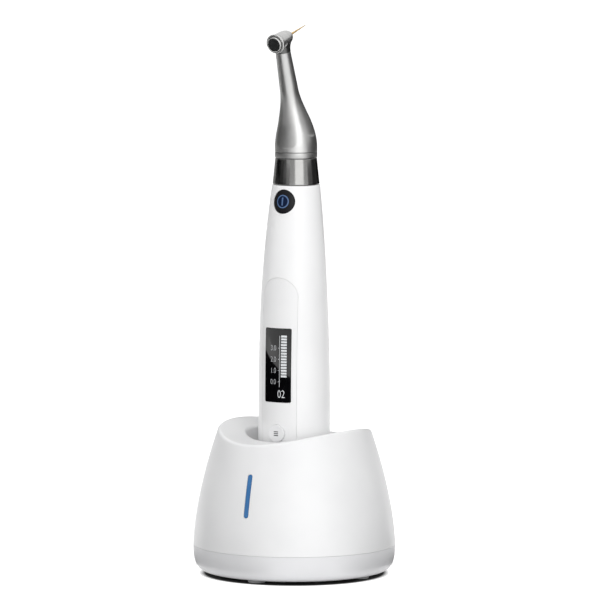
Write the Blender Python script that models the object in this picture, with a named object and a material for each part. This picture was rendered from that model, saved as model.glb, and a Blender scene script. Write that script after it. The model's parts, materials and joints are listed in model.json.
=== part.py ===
"""Endodontic motor: a cordless handpiece with a contra-angle and a root canal file, in its charging base.

Metres, +Z up. The origin is on the table under the middle of the base, and the screen faces -Y.
"""

import math

import bmesh
import bpy
from mathutils import Matrix, Vector

# Clearances
GAP = 0.0003            # between pieces that are fitted to each other
SEAM = 0.0002           # between outer shells, where the joint line shows

# Base
BASE_RADIUS = 0.04565   # at the parting line, where the base is widest
BASE_TAPER = 0.0119     # how much the radius shrinks from the parting line to the side of the rim
TAPER_POWER = 1.6       # the wall starts upright and leans in more and more
PARTING_Z = 0.01335
VALLEY_Z = 0.0613       # the top is a valley that runs from front to back
VALLEY_RISE = 0.0065    # height of the rim's sides above the front of the valley
VALLEY_ROUND = 0.0080   # how wide the round bottom of the valley is
VALLEY_FALL = 0.0016    # how much lower the back of the valley is than its front
RIM_ROUND = 0.0016
BASE_WALL = 0.0024
TRAY_BOTTOM_Z = 0.0015
TRAY_ROUND = 0.0065
WELL_HALF_WIDTH = 0.0224
WELL_HALF_DEPTH = 0.0192
WELL_LIP_ROUND = 0.0013
WELL_FLOOR_Z = 0.0200
FOOT_RADIUS = 0.0040
FOOT_INSET = 0.01165    # from the widest part of the base to the middle of a foot
FOOT_SUNK = 0.0008      # how deep a foot sits in the tray
SCREW_CIRCLE = 0.0285
SCREW_RADIUS = 0.0014
SCREW_HEAD_RADIUS = 0.0026
SCREW_HEAD_HEIGHT = 0.0016
SCREW_LENGTH = 0.0150
POST_RADIUS = 0.0031
BALLAST_RADIUS = 0.0235
BALLAST_HEIGHT = 0.0030
LIGHT_LOW_Z = 0.0300
LIGHT_HIGH_Z = 0.0490
LIGHT_WIDTH = 0.0020
LIGHT_BOARD_WIDTH = 0.0060
CHARGE_BOARD_WIDTH = 0.0300
CHARGE_BOARD_DEPTH = 0.0200
BOARD_THICKNESS = 0.0012
PIN_SPACING = 0.0120
PIN_RADIUS = 0.0009
PIN_LENGTH = 0.0075
BARREL_RADIUS = 0.0018
CONTACT_RADIUS = 0.0020
CONTACT_SUNK = 0.0006   # the contacts lie this deep in the bottom cap
JACK_Z = 0.0230
JACK_WIDTH = 0.0090
JACK_HEIGHT = 0.0080
JACK_DEPTH = 0.0120
JACK_BORE_RADIUS = 0.0029
JACK_PIN_RADIUS = 0.0008

# Handpiece
GRIP_RADIUS = 0.0162
GRIP_TOP_RADIUS = 0.01075
GRIP_STRAIGHT_Z = 0.0700    # the grip is straight up to here and then narrows
GRIP_TOP_Z = 0.1760
GRIP_POWER = 2.3
GRIP_WALL = 0.0020
GRIP_LEAN_Z = 0.1200        # above this height the grip's middle moves back
AXIS_Y = 0.0017             # how far back the collar and the contra-angle stand
LEAN_POWER = 1.5
GRIP_BOTTOM_ROUND = 0.0022
GRIP_TOP_ROUND = 0.0006
PANEL_HALF_WIDTH = 0.0088
PANEL_TOP_Z = 0.1350
SCREEN_WIDTH = 0.0130
SCREEN_LOW_Z = 0.0792
SCREEN_HIGH_Z = 0.1123
SCREEN_CORNER = 0.0005
DISPLAY_THICKNESS = 0.0020
MAIN_BOARD_WIDTH = 0.0120
MAIN_BOARD_LOW_Z = 0.0560
MAIN_BOARD_HIGH_Z = 0.1150
PROGRAM_Z = 0.0650
PROGRAM_RADIUS = 0.0040
PROGRAM_PROUD = 0.0005
PROGRAM_TRAVEL = 0.0005
SWITCH_SIZE = 0.0050
POWER_DOWN = 0.0070         # from the top of the grip to the middle of the power button
POWER_RADIUS = 0.0053
POWER_PROUD = 0.0006        # height of the dome on the power button
POWER_TRAVEL = 0.0006
SWITCH_HEIGHT = 0.0012
BATTERY_RADIUS = 0.0091
BATTERY_LENGTH = 0.0650
BATTERY_LOW_Z = 0.0260
BOTTOM_CAP_HEIGHT = 0.0030
SOCKET_Z = 0.1050
SOCKET_WIDTH = 0.0080
SOCKET_HEIGHT = 0.0034
SOCKET_DEPTH = 0.0045
MOTOR_RADIUS = 0.0080
MOTOR_DOWN = 0.0560         # from the top of the grip to the lower end of the motor
MOTOR_LENGTH = 0.0300
GEARHEAD_RADIUS = 0.0065
GEARHEAD_LENGTH = 0.0100
MOUNT_HEIGHT = 0.0030
SHAFT_RADIUS = 0.0020
DOG_RADIUS = 0.0028
BEARING_WALL = 0.0022
COLLAR_LOW_RADIUS = 0.0106
COLLAR_HIGH_RADIUS = 0.00935
COLLAR_HEIGHT = 0.0118
SPIGOT_LENGTH = 0.0010
BEARING_SEAT_HEIGHT = 0.0034
NOSE_RADIUS = 0.0070
NOSE_WALL = 0.0022
O_RING_DOWN = 0.0025        # from the end of the nose to the middle of the ring
O_RING_THICKNESS = 0.0009

# Contra-angle
SWIVEL_RING_HEIGHT = 0.0024
SWIVEL_RING_WALL = 0.0017
SLEEVE_RADIUS = 0.0095
NECK_RADIUS = 0.0041        # where the flare ends
NECK_END_RADIUS = 0.0031    # at the head
FLARE_START = 0.0022        # from the sleeve's lower end to the start of the flare
FLARE_LENGTH = 0.0270
BEND_START = 0.0012         # from the sleeve's lower end to the start of the bend
BEND_RADIUS = 0.0440
NECK_TILT = math.radians(17.5)
NECK_LENGTH = 0.0447        # from the middle of the bend to the middle of the head
SCALLOP_START = 0.0010      # from the sleeve's lower end to the start of the finger hollow
SCALLOP_LENGTH = 0.0224
SCALLOP_DEPTH = 0.0007
HEAD_TILT = math.radians(14.5)
HEAD_RADIUS = 0.00425       # at the push cap, where the head is widest
HEAD_SHOULDER_RADIUS = 0.00335
HEAD_TIP_RADIUS = 0.0022
HEAD_BORE = 0.0031
HEAD_FRONT_BORE = 0.0025
HEAD_BACK = 0.0067          # from the neck's axis to the face of the push cap
HEAD_FRONT = 0.0069         # from the neck's axis to the end of the nose
HEAD_NOSE_LENGTH = 0.0022   # the round end of the head, in front of the shoulder
HEAD_NOSE_WALL = 0.0015
CAP_RING_HEIGHT = 0.0018
CAP_RING_WALL = 0.0008
CAP_HEIGHT = 0.0020
CAP_PROUD = 0.0010          # the push cap stands this far out of its ring
CAP_TRAVEL = 0.0008
CAP_DISH = 0.0002
CAP_SPRING_HEIGHT = 0.0006
SPINDLE_RADIUS = 0.0016
CROWN_RADIUS = 0.0027
CROWN_HEIGHT = 0.0007
CROWN_TEETH = 16
PINION_RADIUS = 0.0012
PINION_LENGTH = 0.0014
PINION_TEETH = 8
BEND_GEAR_RADIUS = 0.0023
BEND_GEAR_LENGTH = 0.0013
BEND_TEETH = 10
BEND_GEAR_SPACE = 0.0006    # from the middle of the bend to each gear's face
TOOTH_DEPTH = 0.0004
NECK_SHAFT_RADIUS = 0.0009
INPUT_SHAFT_RADIUS = 0.0013
SMALL_BEARING_WALL = 0.0012
SMALL_BEARING_LENGTH = 0.0015
FILE_SHANK_RADIUS = 0.00117
FILE_SHANK_PROUD = 0.0019   # the shank's visible end
FILE_ROOT_RADIUS = 0.00045
FILE_TIP_RADIUS = 0.00012
FILE_LENGTH = 0.0136

# Places worked out from the sizes above
SHELL_LOW_Z = PARTING_Z + SEAM / 2
TRAY_HIGH_Z = PARTING_Z - SEAM / 2
TRAY_FLOOR_Z = TRAY_BOTTOM_Z + BASE_WALL
RIM_REFERENCE_Z = VALLEY_Z + VALLEY_RISE
FOOT_CIRCLE = BASE_RADIUS - FOOT_INSET
GRIP_LOW_Z = WELL_FLOOR_Z + GAP
CONTACT_Z = GRIP_LOW_Z + CONTACT_SUNK
PIN_TIP_Z = CONTACT_Z - GAP
BALLAST_LOW_Z = TRAY_FLOOR_Z + GAP
CHARGE_BOARD_Z = BALLAST_LOW_Z + BALLAST_HEIGHT + GAP
BARREL_LOW_Z = CHARGE_BOARD_Z + BOARD_THICKNESS + GAP
BARREL_HIGH_Z = WELL_FLOOR_Z - BASE_WALL - GAP
POWER_Z = GRIP_TOP_Z - POWER_DOWN
MOTOR_LOW_Z = GRIP_TOP_Z - MOTOR_DOWN
COLLAR_LOW_Z = GRIP_TOP_Z + SEAM
COLLAR_HIGH_Z = COLLAR_LOW_Z + COLLAR_HEIGHT
SPIGOT_LOW_Z = GRIP_TOP_Z - SPIGOT_LENGTH
BEARING_SEAT_Z = SPIGOT_LOW_Z + BEARING_SEAT_HEIGHT
BEARING_SEAT_RADIUS = SHAFT_RADIUS + BEARING_WALL + 2 * GAP
RING_LOW_Z = COLLAR_HIGH_Z + SEAM
SLEEVE_LOW_Z = RING_LOW_Z + SWIVEL_RING_HEIGHT + SEAM
SLEEVE_BORE = NOSE_RADIUS + 2 * GAP
FLARE_LOW_Z = SLEEVE_LOW_Z + FLARE_START
FLARE_HIGH_Z = FLARE_LOW_Z + FLARE_LENGTH
SCALLOP_LOW_Z = SLEEVE_LOW_Z + SCALLOP_START
SCALLOP_HIGH_Z = SCALLOP_LOW_Z + SCALLOP_LENGTH
BEND_START_Z = SLEEVE_LOW_Z + BEND_START
BEND_Z = BEND_START_Z + BEND_RADIUS * math.tan(NECK_TILT / 2)
LOW_GEAR_HIGH_Z = BEND_Z - BEND_GEAR_SPACE
LOW_GEAR_Z = LOW_GEAR_HIGH_Z - BEND_GEAR_LENGTH
INPUT_BEARING_Z = LOW_GEAR_Z - GAP - SMALL_BEARING_LENGTH
NOSE_TOP_Z = INPUT_BEARING_Z - GAP
O_RING_Z = NOSE_TOP_Z - O_RING_DOWN
COUPLING_Z = SLEEVE_LOW_Z
GEARHEAD_LOW_Z = MOTOR_LOW_Z + MOTOR_LENGTH + GAP
GEARHEAD_HIGH_Z = GEARHEAD_LOW_Z + GEARHEAD_LENGTH
SPINDLE_BORE = FILE_SHANK_RADIUS + SEAM
NOSE_BORE = SPINDLE_RADIUS + SEAM
CROWN_LOW = PINION_RADIUS + GAP
CROWN_HIGH = CROWN_LOW + CROWN_HEIGHT
CAP_RING_LOW = CAP_PROUD - HEAD_BACK
CAP_RING_HIGH = CAP_RING_LOW + CAP_RING_HEIGHT
CAP_SPRING_LOW = CAP_HEIGHT + CAP_TRAVEL + GAP / 2 - HEAD_BACK
CAP_SPRING_HIGH = CAP_SPRING_LOW + CAP_SPRING_HEIGHT
SPINDLE_LOW = CAP_SPRING_HIGH + GAP
SHOULDER = HEAD_FRONT - HEAD_NOSE_LENGTH
PINION_REACH = SPINDLE_RADIUS + 2 * GAP

SAME_POINT = 1e-7   # two outline points closer than this are one

FINE = 36       # sides of the large round pieces
MEDIUM = 20
COARSE = 10


def clear_scene():
    for old in list(bpy.data.objects):
        bpy.data.objects.remove(old, do_unlink=True)


def make_material(name, colour, roughness, metallic=0.0):
    made = bpy.data.materials.new(name)
    made.use_nodes = True
    shader = made.node_tree.nodes["Principled BSDF"]
    shader.inputs["Base Color"].default_value = (*colour, 1.0)
    shader.inputs["Roughness"].default_value = roughness
    shader.inputs["Metallic"].default_value = metallic
    return made


def add_frame(name, location, rotation_x=0.0, parent=None):
    """An empty that carries pieces; its local Z is the axis that they are built along."""
    frame = bpy.data.objects.new(name, None)
    bpy.context.scene.collection.objects.link(frame)
    frame.location = location
    frame.rotation_euler = (rotation_x, 0.0, 0.0)
    frame.parent = parent
    return frame


def add_piece(name, bm, finish, parent=None, location=(0.0, 0.0, 0.0)):
    mesh = bpy.data.meshes.new(name)
    bm.to_mesh(mesh)
    bm.free()
    mesh.materials.append(finish)
    mesh.shade_smooth()
    mesh.set_sharp_from_angle(angle=math.radians(32))
    piece = bpy.data.objects.new(name, mesh)
    bpy.context.scene.collection.objects.link(piece)
    piece.parent = parent
    piece.location = location
    return piece


def add_cutter(name, bm, parent=None, location=(0.0, 0.0, 0.0)):
    mesh = bpy.data.meshes.new(name)
    bm.to_mesh(mesh)
    bm.free()
    cutter = bpy.data.objects.new(name, mesh)
    bpy.context.scene.collection.objects.link(cutter)
    cutter.parent = parent
    cutter.location = location
    cutter.hide_render = True
    cutter.display_type = "WIRE"
    return cutter


def boolean(piece, cutter, operation="DIFFERENCE"):
    """Apply one Boolean with a cutter and remove the cutter."""
    step = piece.modifiers.new(operation.lower(), "BOOLEAN")
    step.operation = operation
    step.solver = "EXACT"
    step.object = cutter
    bpy.context.view_layer.update()
    with bpy.context.temp_override(object=piece, active_object=piece):
        bpy.ops.object.modifier_apply(modifier=step.name)
    bpy.data.objects.remove(cutter, do_unlink=True)
    piece.data.shade_smooth()
    piece.data.set_sharp_from_angle(angle=math.radians(32))


def skin(rings, looped=False):
    """Join a stack of rings; a looped stack meets itself, any other stack gets flat ends."""
    bm = bmesh.new()
    loops = [[bm.verts.new(point) for point in ring] for ring in rings]
    pairs = list(zip(loops, loops[1:]))
    if looped:
        pairs.append((loops[-1], loops[0]))
    else:
        bm.faces.new(loops[0])
        bm.faces.new(loops[-1])
    count = len(loops[0])
    for low, high in pairs:
        for i in range(count):
            j = (i + 1) % count
            bm.faces.new((low[i], low[j], high[j], high[i]))
    bmesh.ops.recalc_face_normals(bm, faces=bm.faces)
    return bm


def directions(sides):
    """Evenly spaced unit vectors around Z; a flat side, not a corner, faces the front."""
    turn = 2 * math.pi / sides
    return [Vector((math.sin((i + 0.5) * turn), -math.cos((i + 0.5) * turn), 0.0)) for i in range(sides)]


def circle(radius, z, sides, centre=(0.0, 0.0)):
    middle = Vector((*centre, z))
    return [middle + radius * way for way in directions(sides)]


def gear_circle(tip_radius, z, teeth):
    """A ring with three points for each tooth: two on the tip and one at the root."""
    radii = (tip_radius, tip_radius, tip_radius - TOOTH_DEPTH)
    return [Vector((0.0, 0.0, z)) + radii[i % 3] * way for i, way in enumerate(directions(3 * teeth))]


def rounded(points, radii, steps=3):
    """Round corners of an outline of (radius, height) points; radii maps a point's index to its fillet."""
    made = []
    for i, point in enumerate(points):
        here = Vector(point)
        if i not in radii:
            made.append(here)
            continue
        before = (Vector(points[i - 1]) - here).normalized() * radii[i]
        after = (Vector(points[i + 1]) - here).normalized() * radii[i]
        for k in range(steps + 1):
            t = k / steps
            made.append(here + before * (1 - t) ** 2 + after * t ** 2)
    return made


def turned(profile, sides, looped=False):
    """Turn an outline of (radius, height) points about the local Z axis."""
    return skin([circle(radius, z, sides) for radius, z in profile], looped)


def tube(inner, outer, low, high, sides):
    return turned([(outer, low), (outer, high), (inner, high), (inner, low)], sides, looped=True)


def rod(radius, low, high, sides):
    return turned([(radius, low), (radius, high)], sides)


def block(low, high):
    bm = bmesh.new()
    size = Vector(high) - Vector(low)
    place = Matrix.Translation((Vector(high) + Vector(low)) / 2) @ Matrix.Diagonal((*size, 1.0))
    bmesh.ops.create_cube(bm, size=1.0, matrix=place)
    return bm


def prism_y(outline, low_y, high_y):
    """Extrude an outline of (x, z) points along Y."""
    return skin([[Vector((x, y, z)) for x, z in outline] for y in (low_y, high_y)])


def round_rectangle(half_width, low, high, corner, steps=3):
    """Outline of (x, z) points with four round corners."""
    centres = ((1, low, -90), (1, high, 0), (-1, high, 90), (-1, low, 180))
    points = []
    for side, z, start in centres:
        middle_x = side * (half_width - corner)
        middle_z = z + corner if z == low else z - corner
        for k in range(steps + 1):
            angle = math.radians(start + 90 * k / steps)
            points.append((middle_x + corner * math.cos(angle), middle_z + corner * math.sin(angle)))
    return [point for i, point in enumerate(points) if math.dist(point, points[i - 1]) > SAME_POINT]


# Shapes of the base

def base_radius(z):
    share = (z - PARTING_Z) / (RIM_REFERENCE_Z - PARTING_Z)
    return BASE_RADIUS - BASE_TAPER * max(share, 0.0) ** TAPER_POWER


def valley_height(x, y):
    """Height of the top: a valley with a round bottom, which falls a little towards the back."""
    reach = BASE_RADIUS - BASE_TAPER
    bottom = VALLEY_Z - VALLEY_FALL * (y + reach) / (2 * reach)
    share = (math.hypot(x, VALLEY_ROUND) - VALLEY_ROUND) / (math.hypot(reach, VALLEY_ROUND) - VALLEY_ROUND)
    return bottom + (RIM_REFERENCE_Z - bottom) * share


def rim_height(way, inset=0.0):
    """Height at which the wall, moved in by inset, meets the valley moved down by inset."""
    z = VALLEY_Z
    for _ in range(12):
        reach = base_radius(z) - inset
        z = valley_height(reach * way.x, reach * way.y) - inset
    return z


def well_radius(way, grown=0.0):
    """Radius of the oval well in this direction."""
    return 1 / math.hypot(way.x / (WELL_HALF_WIDTH + grown), way.y / (WELL_HALF_DEPTH + grown))


def shell_outline(way):
    """Outline of the top shell in this direction, from under the floor of the well to the top of that floor."""
    well = well_radius(way)
    well_back = well_radius(way, BASE_WALL)
    inner_rim_z = rim_height(way, BASE_WALL)
    rim_z = rim_height(way)
    inner_rim = base_radius(inner_rim_z) - BASE_WALL
    middle = (well + base_radius(rim_z)) / 2

    def side(z):
        return base_radius(z), z

    def top(radius):
        return radius, valley_height(radius * way.x, radius * way.y)

    outline = [(well_back, WELL_FLOOR_Z - BASE_WALL)]
    outline.append((well_back, top(well_back)[1] - BASE_WALL))
    outline.append((inner_rim, inner_rim_z))
    for share in (0.6, 0.3, 0.0):
        z = SHELL_LOW_Z + (inner_rim_z - SHELL_LOW_Z) * share
        outline.append((base_radius(z) - BASE_WALL, z))
    for share in (0.0, 0.22, 0.42, 0.6, 0.76, 0.88):
        outline.append(side(SHELL_LOW_Z + (rim_z - SHELL_LOW_Z) * share))
    rim_index = len(outline)
    outline.append(side(rim_z))
    outline.append(top(middle))
    outline.append(top(well))
    outline.append((well, WELL_FLOOR_Z))
    outline.append((well - BASE_WALL, WELL_FLOOR_Z))
    return rounded(outline, {rim_index: RIM_ROUND, rim_index + 2: WELL_LIP_ROUND})


def post_places():
    for i in range(4):
        angle = math.radians(45 + 90 * i)
        yield SCREW_CIRCLE * math.sin(angle), -SCREW_CIRCLE * math.cos(angle)


def build_top_shell(finish, light_finish):
    ways = directions(FINE)
    outlines = [shell_outline(way) for way in ways]
    rings = []
    for level in range(len(outlines[0])):
        ring = []
        for way, outline in zip(ways, outlines):
            radius, z = outline[level]
            ring.append(radius * way + Vector((0.0, 0.0, z)))
        rings.append(ring)
    shell = add_piece("base_top_shell", skin(rings), finish)

    light_reach = (-BASE_RADIUS - BASE_WALL, -WELL_HALF_DEPTH - 2 * BASE_WALL)
    light = shell.copy()
    light.data = shell.data.copy()
    light.name = "light_bar"
    bpy.context.scene.collection.objects.link(light)
    outline = round_rectangle(LIGHT_WIDTH / 2, LIGHT_LOW_Z, LIGHT_HIGH_Z, LIGHT_WIDTH / 2)
    boolean(light, add_cutter("light_shape", prism_y(outline, *light_reach)), "INTERSECT")
    light.data.materials.clear()
    light.data.materials.append(light_finish)
    slot_half = LIGHT_WIDTH / 2 + SEAM
    outline = round_rectangle(slot_half, LIGHT_LOW_Z - SEAM, LIGHT_HIGH_Z + SEAM, slot_half)
    boolean(shell, add_cutter("light_slot", prism_y(outline, *light_reach)))

    post_low = SHELL_LOW_Z + GAP
    for x, y in post_places():
        post_high = valley_height(abs(x) - POST_RADIUS, y + POST_RADIUS) - BASE_WALL / 2
        post = rod(POST_RADIUS, post_low, post_high, COARSE)
        boolean(shell, add_cutter("post", post, location=(x, y, 0.0)), "UNION")
        hole = rod(SCREW_RADIUS + GAP, post_low - GAP, post_low + SCREW_LENGTH, COARSE)
        boolean(shell, add_cutter("post_hole", hole, location=(x, y, 0.0)))
    for x in (-PIN_SPACING / 2, PIN_SPACING / 2):
        hole = rod(PIN_RADIUS + GAP, WELL_FLOOR_Z - 2 * BASE_WALL, WELL_FLOOR_Z + BASE_WALL, COARSE)
        boolean(shell, add_cutter("pin_hole", hole, location=(x, 0.0, 0.0)))
    half_width = JACK_WIDTH / 2 + SEAM
    half_height = JACK_HEIGHT / 2 + SEAM
    window = block((-half_width, BASE_RADIUS - BASE_TAPER, JACK_Z - half_height),
                   (half_width, BASE_RADIUS + BASE_WALL, JACK_Z + half_height))
    boolean(shell, add_cutter("jack_window", window))


def build_tray(finish):
    inner = BASE_RADIUS - BASE_WALL
    outline = [(inner - TRAY_ROUND, TRAY_FLOOR_Z), (inner, TRAY_FLOOR_Z), (inner, TRAY_HIGH_Z),
               (BASE_RADIUS, TRAY_HIGH_Z), (BASE_RADIUS, TRAY_BOTTOM_Z),
               (BASE_RADIUS - 2 * TRAY_ROUND, TRAY_BOTTOM_Z)]
    profile = rounded(outline, {1: TRAY_ROUND - BASE_WALL, 4: TRAY_ROUND})
    tray = add_piece("base_tray", turned(profile, FINE), finish)
    recess = rod(FOOT_RADIUS + GAP, TRAY_BOTTOM_Z - BASE_WALL, TRAY_BOTTOM_Z + FOOT_SUNK + GAP, MEDIUM)
    for x, y in foot_places():
        boolean(tray, add_cutter("foot_recess", recess.copy(), location=(x, y, 0.0)))
    recess.free()
    boss_low = TRAY_BOTTOM_Z + BASE_WALL / 2
    seat_z = screw_seat()
    for x, y in post_places():
        boss = rod(POST_RADIUS + BASE_WALL / 2, boss_low, TRAY_HIGH_Z, COARSE)
        boolean(tray, add_cutter("boss", boss, location=(x, y, 0.0)), "UNION")
        bore = [(SCREW_HEAD_RADIUS + GAP, TRAY_BOTTOM_Z - BASE_WALL), (SCREW_HEAD_RADIUS + GAP, seat_z),
                (SCREW_RADIUS + GAP, seat_z), (SCREW_RADIUS + GAP, TRAY_HIGH_Z + BASE_WALL)]
        boolean(tray, add_cutter("screw_bore", turned(bore, COARSE), location=(x, y, 0.0)))


def screw_seat():
    """Height of the shoulder that a case screw's head pulls against."""
    return TRAY_FLOOR_Z + SCREW_HEAD_HEIGHT


def foot_places():
    for i in range(4):
        angle = math.pi / 2 * i
        yield FOOT_CIRCLE * math.sin(angle), -FOOT_CIRCLE * math.cos(angle)


def build_feet(finish):
    names = ("foot_front", "foot_right", "foot_back", "foot_left")
    edge = FOOT_SUNK / 2
    high = TRAY_BOTTOM_Z + FOOT_SUNK
    profile = rounded([(FOOT_RADIUS / 2, 0.0), (FOOT_RADIUS, 0.0), (FOOT_RADIUS, high)], {1: edge}, steps=2)
    for name, (x, y) in zip(names, foot_places()):
        add_piece(name, turned(profile, MEDIUM), finish, location=(x, y, 0.0))


def build_case_screws(finish):
    head_high = screw_seat() - GAP
    head_low = head_high - SCREW_HEAD_HEIGHT
    profile = [(SCREW_HEAD_RADIUS, head_low), (SCREW_HEAD_RADIUS, head_high), (SCREW_RADIUS, head_high),
               (SCREW_RADIUS, head_high + SCREW_LENGTH)]
    slot_half = SCREW_HEAD_RADIUS / 8
    for i, (x, y) in enumerate(post_places()):
        screw = add_piece(f"base_screw_{i + 1}", turned(profile, COARSE), finish, location=(x, y, 0.0))
        slot = block((-2 * SCREW_HEAD_RADIUS, -slot_half, head_low - SCREW_HEAD_HEIGHT),
                     (2 * SCREW_HEAD_RADIUS, slot_half, head_low + SCREW_HEAD_HEIGHT / 3))
        boolean(screw, add_cutter("screw_slot", slot, location=(x, y, 0.0)))


def build_base_inside(steel, board, brass, black):
    ballast = rod(BALLAST_RADIUS, BALLAST_LOW_Z, BALLAST_LOW_Z + BALLAST_HEIGHT, FINE)
    add_piece("ballast_plate", ballast, steel)
    half_width = CHARGE_BOARD_WIDTH / 2
    half_depth = CHARGE_BOARD_DEPTH / 2
    add_piece("charge_board", block((-half_width, -half_depth, CHARGE_BOARD_Z),
                                    (half_width, half_depth, CHARGE_BOARD_Z + BOARD_THICKNESS)), board)
    for name, x in (("left", -PIN_SPACING / 2), ("right", PIN_SPACING / 2)):
        barrel = tube(PIN_RADIUS + GAP, BARREL_RADIUS, BARREL_LOW_Z, BARREL_HIGH_Z, COARSE)
        add_piece(f"charge_barrel_{name}", barrel, brass, location=(x, 0.0, 0.0))
        tip = rounded([(PIN_RADIUS, -PIN_LENGTH), (PIN_RADIUS, 0.0), (PIN_RADIUS / 3, 0.0)],
                      {1: PIN_RADIUS / 2}, steps=2)
        add_piece(f"charge_pin_{name}", turned(tip, COARSE), brass, location=(x, 0.0, PIN_TIP_Z))

    middle_z = (LIGHT_LOW_Z + LIGHT_HIGH_Z) / 2
    half_length = (LIGHT_HIGH_Z - LIGHT_LOW_Z) / 2
    fall = base_radius(LIGHT_LOW_Z) - base_radius(LIGHT_HIGH_Z)
    lean = -math.atan2(fall, LIGHT_HIGH_Z - LIGHT_LOW_Z)
    bulge = base_radius(middle_z) - (base_radius(LIGHT_LOW_Z) + base_radius(LIGHT_HIGH_Z)) / 2
    inside = (base_radius(LIGHT_LOW_Z) + base_radius(LIGHT_HIGH_Z)) / 2 - BASE_WALL / math.cos(lean)
    frame = add_frame("light_frame", (0.0, -inside + bulge, middle_z), lean)
    half_board = LIGHT_BOARD_WIDTH / 2
    strip = block((-half_board, GAP, -half_length), (half_board, GAP + BOARD_THICKNESS, half_length))
    add_piece("light_board", strip, board, frame)

    face = base_radius(JACK_Z + JACK_HEIGHT / 2)
    half_width = JACK_WIDTH / 2
    half_height = JACK_HEIGHT / 2
    jack = add_piece("dc_jack", block((-half_width, face - JACK_DEPTH, JACK_Z - half_height),
                                      (half_width, face, JACK_Z + half_height)), black)
    floor = BASE_WALL / 2
    mouth = JACK_DEPTH + BASE_WALL
    socket = [(JACK_PIN_RADIUS, floor), (JACK_BORE_RADIUS, floor), (JACK_BORE_RADIUS, mouth),
              (JACK_PIN_RADIUS, mouth)]
    frame = add_frame("jack_frame", (0.0, face - JACK_DEPTH, JACK_Z), -math.pi / 2)
    boolean(jack, add_cutter("jack_socket", turned(socket, COARSE, looped=True), frame))


# Shapes of the handpiece

def grip_radius(z):
    share = (z - GRIP_STRAIGHT_Z) / (GRIP_TOP_Z - GRIP_STRAIGHT_Z)
    return GRIP_RADIUS - (GRIP_RADIUS - GRIP_TOP_RADIUS) * max(share, 0.0) ** GRIP_POWER


def grip_centre(z):
    share = (z - GRIP_LEAN_Z) / (GRIP_TOP_Z - GRIP_LEAN_Z)
    return AXIS_Y * max(share, 0.0) ** LEAN_POWER


def grip_mesh():
    """The whole grip as a tube that is open at both ends."""
    levels = [GRIP_STRAIGHT_Z + (GRIP_TOP_Z - GRIP_STRAIGHT_Z) * share
              for share in (0.0, 0.2, 0.37, 0.52, 0.65, 0.77, 0.88)]
    inner_levels = [GRIP_TOP_Z, levels[5], levels[3], levels[1], GRIP_LOW_Z]
    outline = [(grip_radius(z) - GRIP_WALL, z) for z in inner_levels]
    corner = len(outline)
    outline += [(GRIP_RADIUS, GRIP_LOW_Z)]
    outline += [(grip_radius(z), z) for z in levels]
    top = len(outline)
    outline += [(GRIP_TOP_RADIUS, GRIP_TOP_Z), (GRIP_TOP_RADIUS - GRIP_WALL / 2, GRIP_TOP_Z)]
    bottom_round = min(GRIP_BOTTOM_ROUND, 0.9 * GRIP_WALL)
    profile = rounded(outline, {corner: bottom_round, top: GRIP_TOP_ROUND})
    rings = [circle(radius, z, FINE, (0.0, grip_centre(z))) for radius, z in profile]
    return skin(rings, looped=True)


def arch_outline(grown):
    """Outline of the front panel: straight sides that run off the bottom, and a half-round top."""
    half = PANEL_HALF_WIDTH + grown
    centre_z = PANEL_TOP_Z - PANEL_HALF_WIDTH
    points = [(-half, GRIP_LOW_Z - GRIP_WALL), (half, GRIP_LOW_Z - GRIP_WALL)]
    arc = 16
    for k in range(arc + 1):
        angle = math.pi * k / arc
        points.append((half * math.cos(angle), centre_z + half * math.sin(angle)))
    return points


def display_front():
    """Distance from the grip's middle to the display, which lies behind the narrowest part of the lens."""
    inside = grip_radius(SCREEN_HIGH_Z) - GRIP_WALL
    return math.sqrt(inside ** 2 - (SCREEN_WIDTH / 2) ** 2) - GAP


def board_front():
    """Distance from the grip's middle to the front of the main board, which carries the display."""
    return display_front() - DISPLAY_THICKNESS - GAP


def build_grip(white, panel_finish, glass):
    front = (-GRIP_RADIUS - GRIP_WALL, -GRIP_WALL)
    shell = add_piece("handpiece_shell", grip_mesh(), white)
    boolean(shell, add_cutter("panel_space", prism_y(arch_outline(SEAM), *front)))
    panel = add_piece("front_panel", grip_mesh(), panel_finish)
    boolean(panel, add_cutter("panel_shape", prism_y(arch_outline(0.0), *front)), "INTERSECT")
    lens = add_piece("screen_lens", grip_mesh(), glass)
    outline = round_rectangle(SCREEN_WIDTH / 2, SCREEN_LOW_Z, SCREEN_HIGH_Z, SCREEN_CORNER)
    boolean(lens, add_cutter("lens_shape", prism_y(outline, *front)), "INTERSECT")
    outline = round_rectangle(SCREEN_WIDTH / 2 + SEAM, SCREEN_LOW_Z - SEAM, SCREEN_HIGH_Z + SEAM,
                              SCREEN_CORNER + SEAM)
    boolean(panel, add_cutter("window", prism_y(outline, *front)))
    return shell, panel


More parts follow.
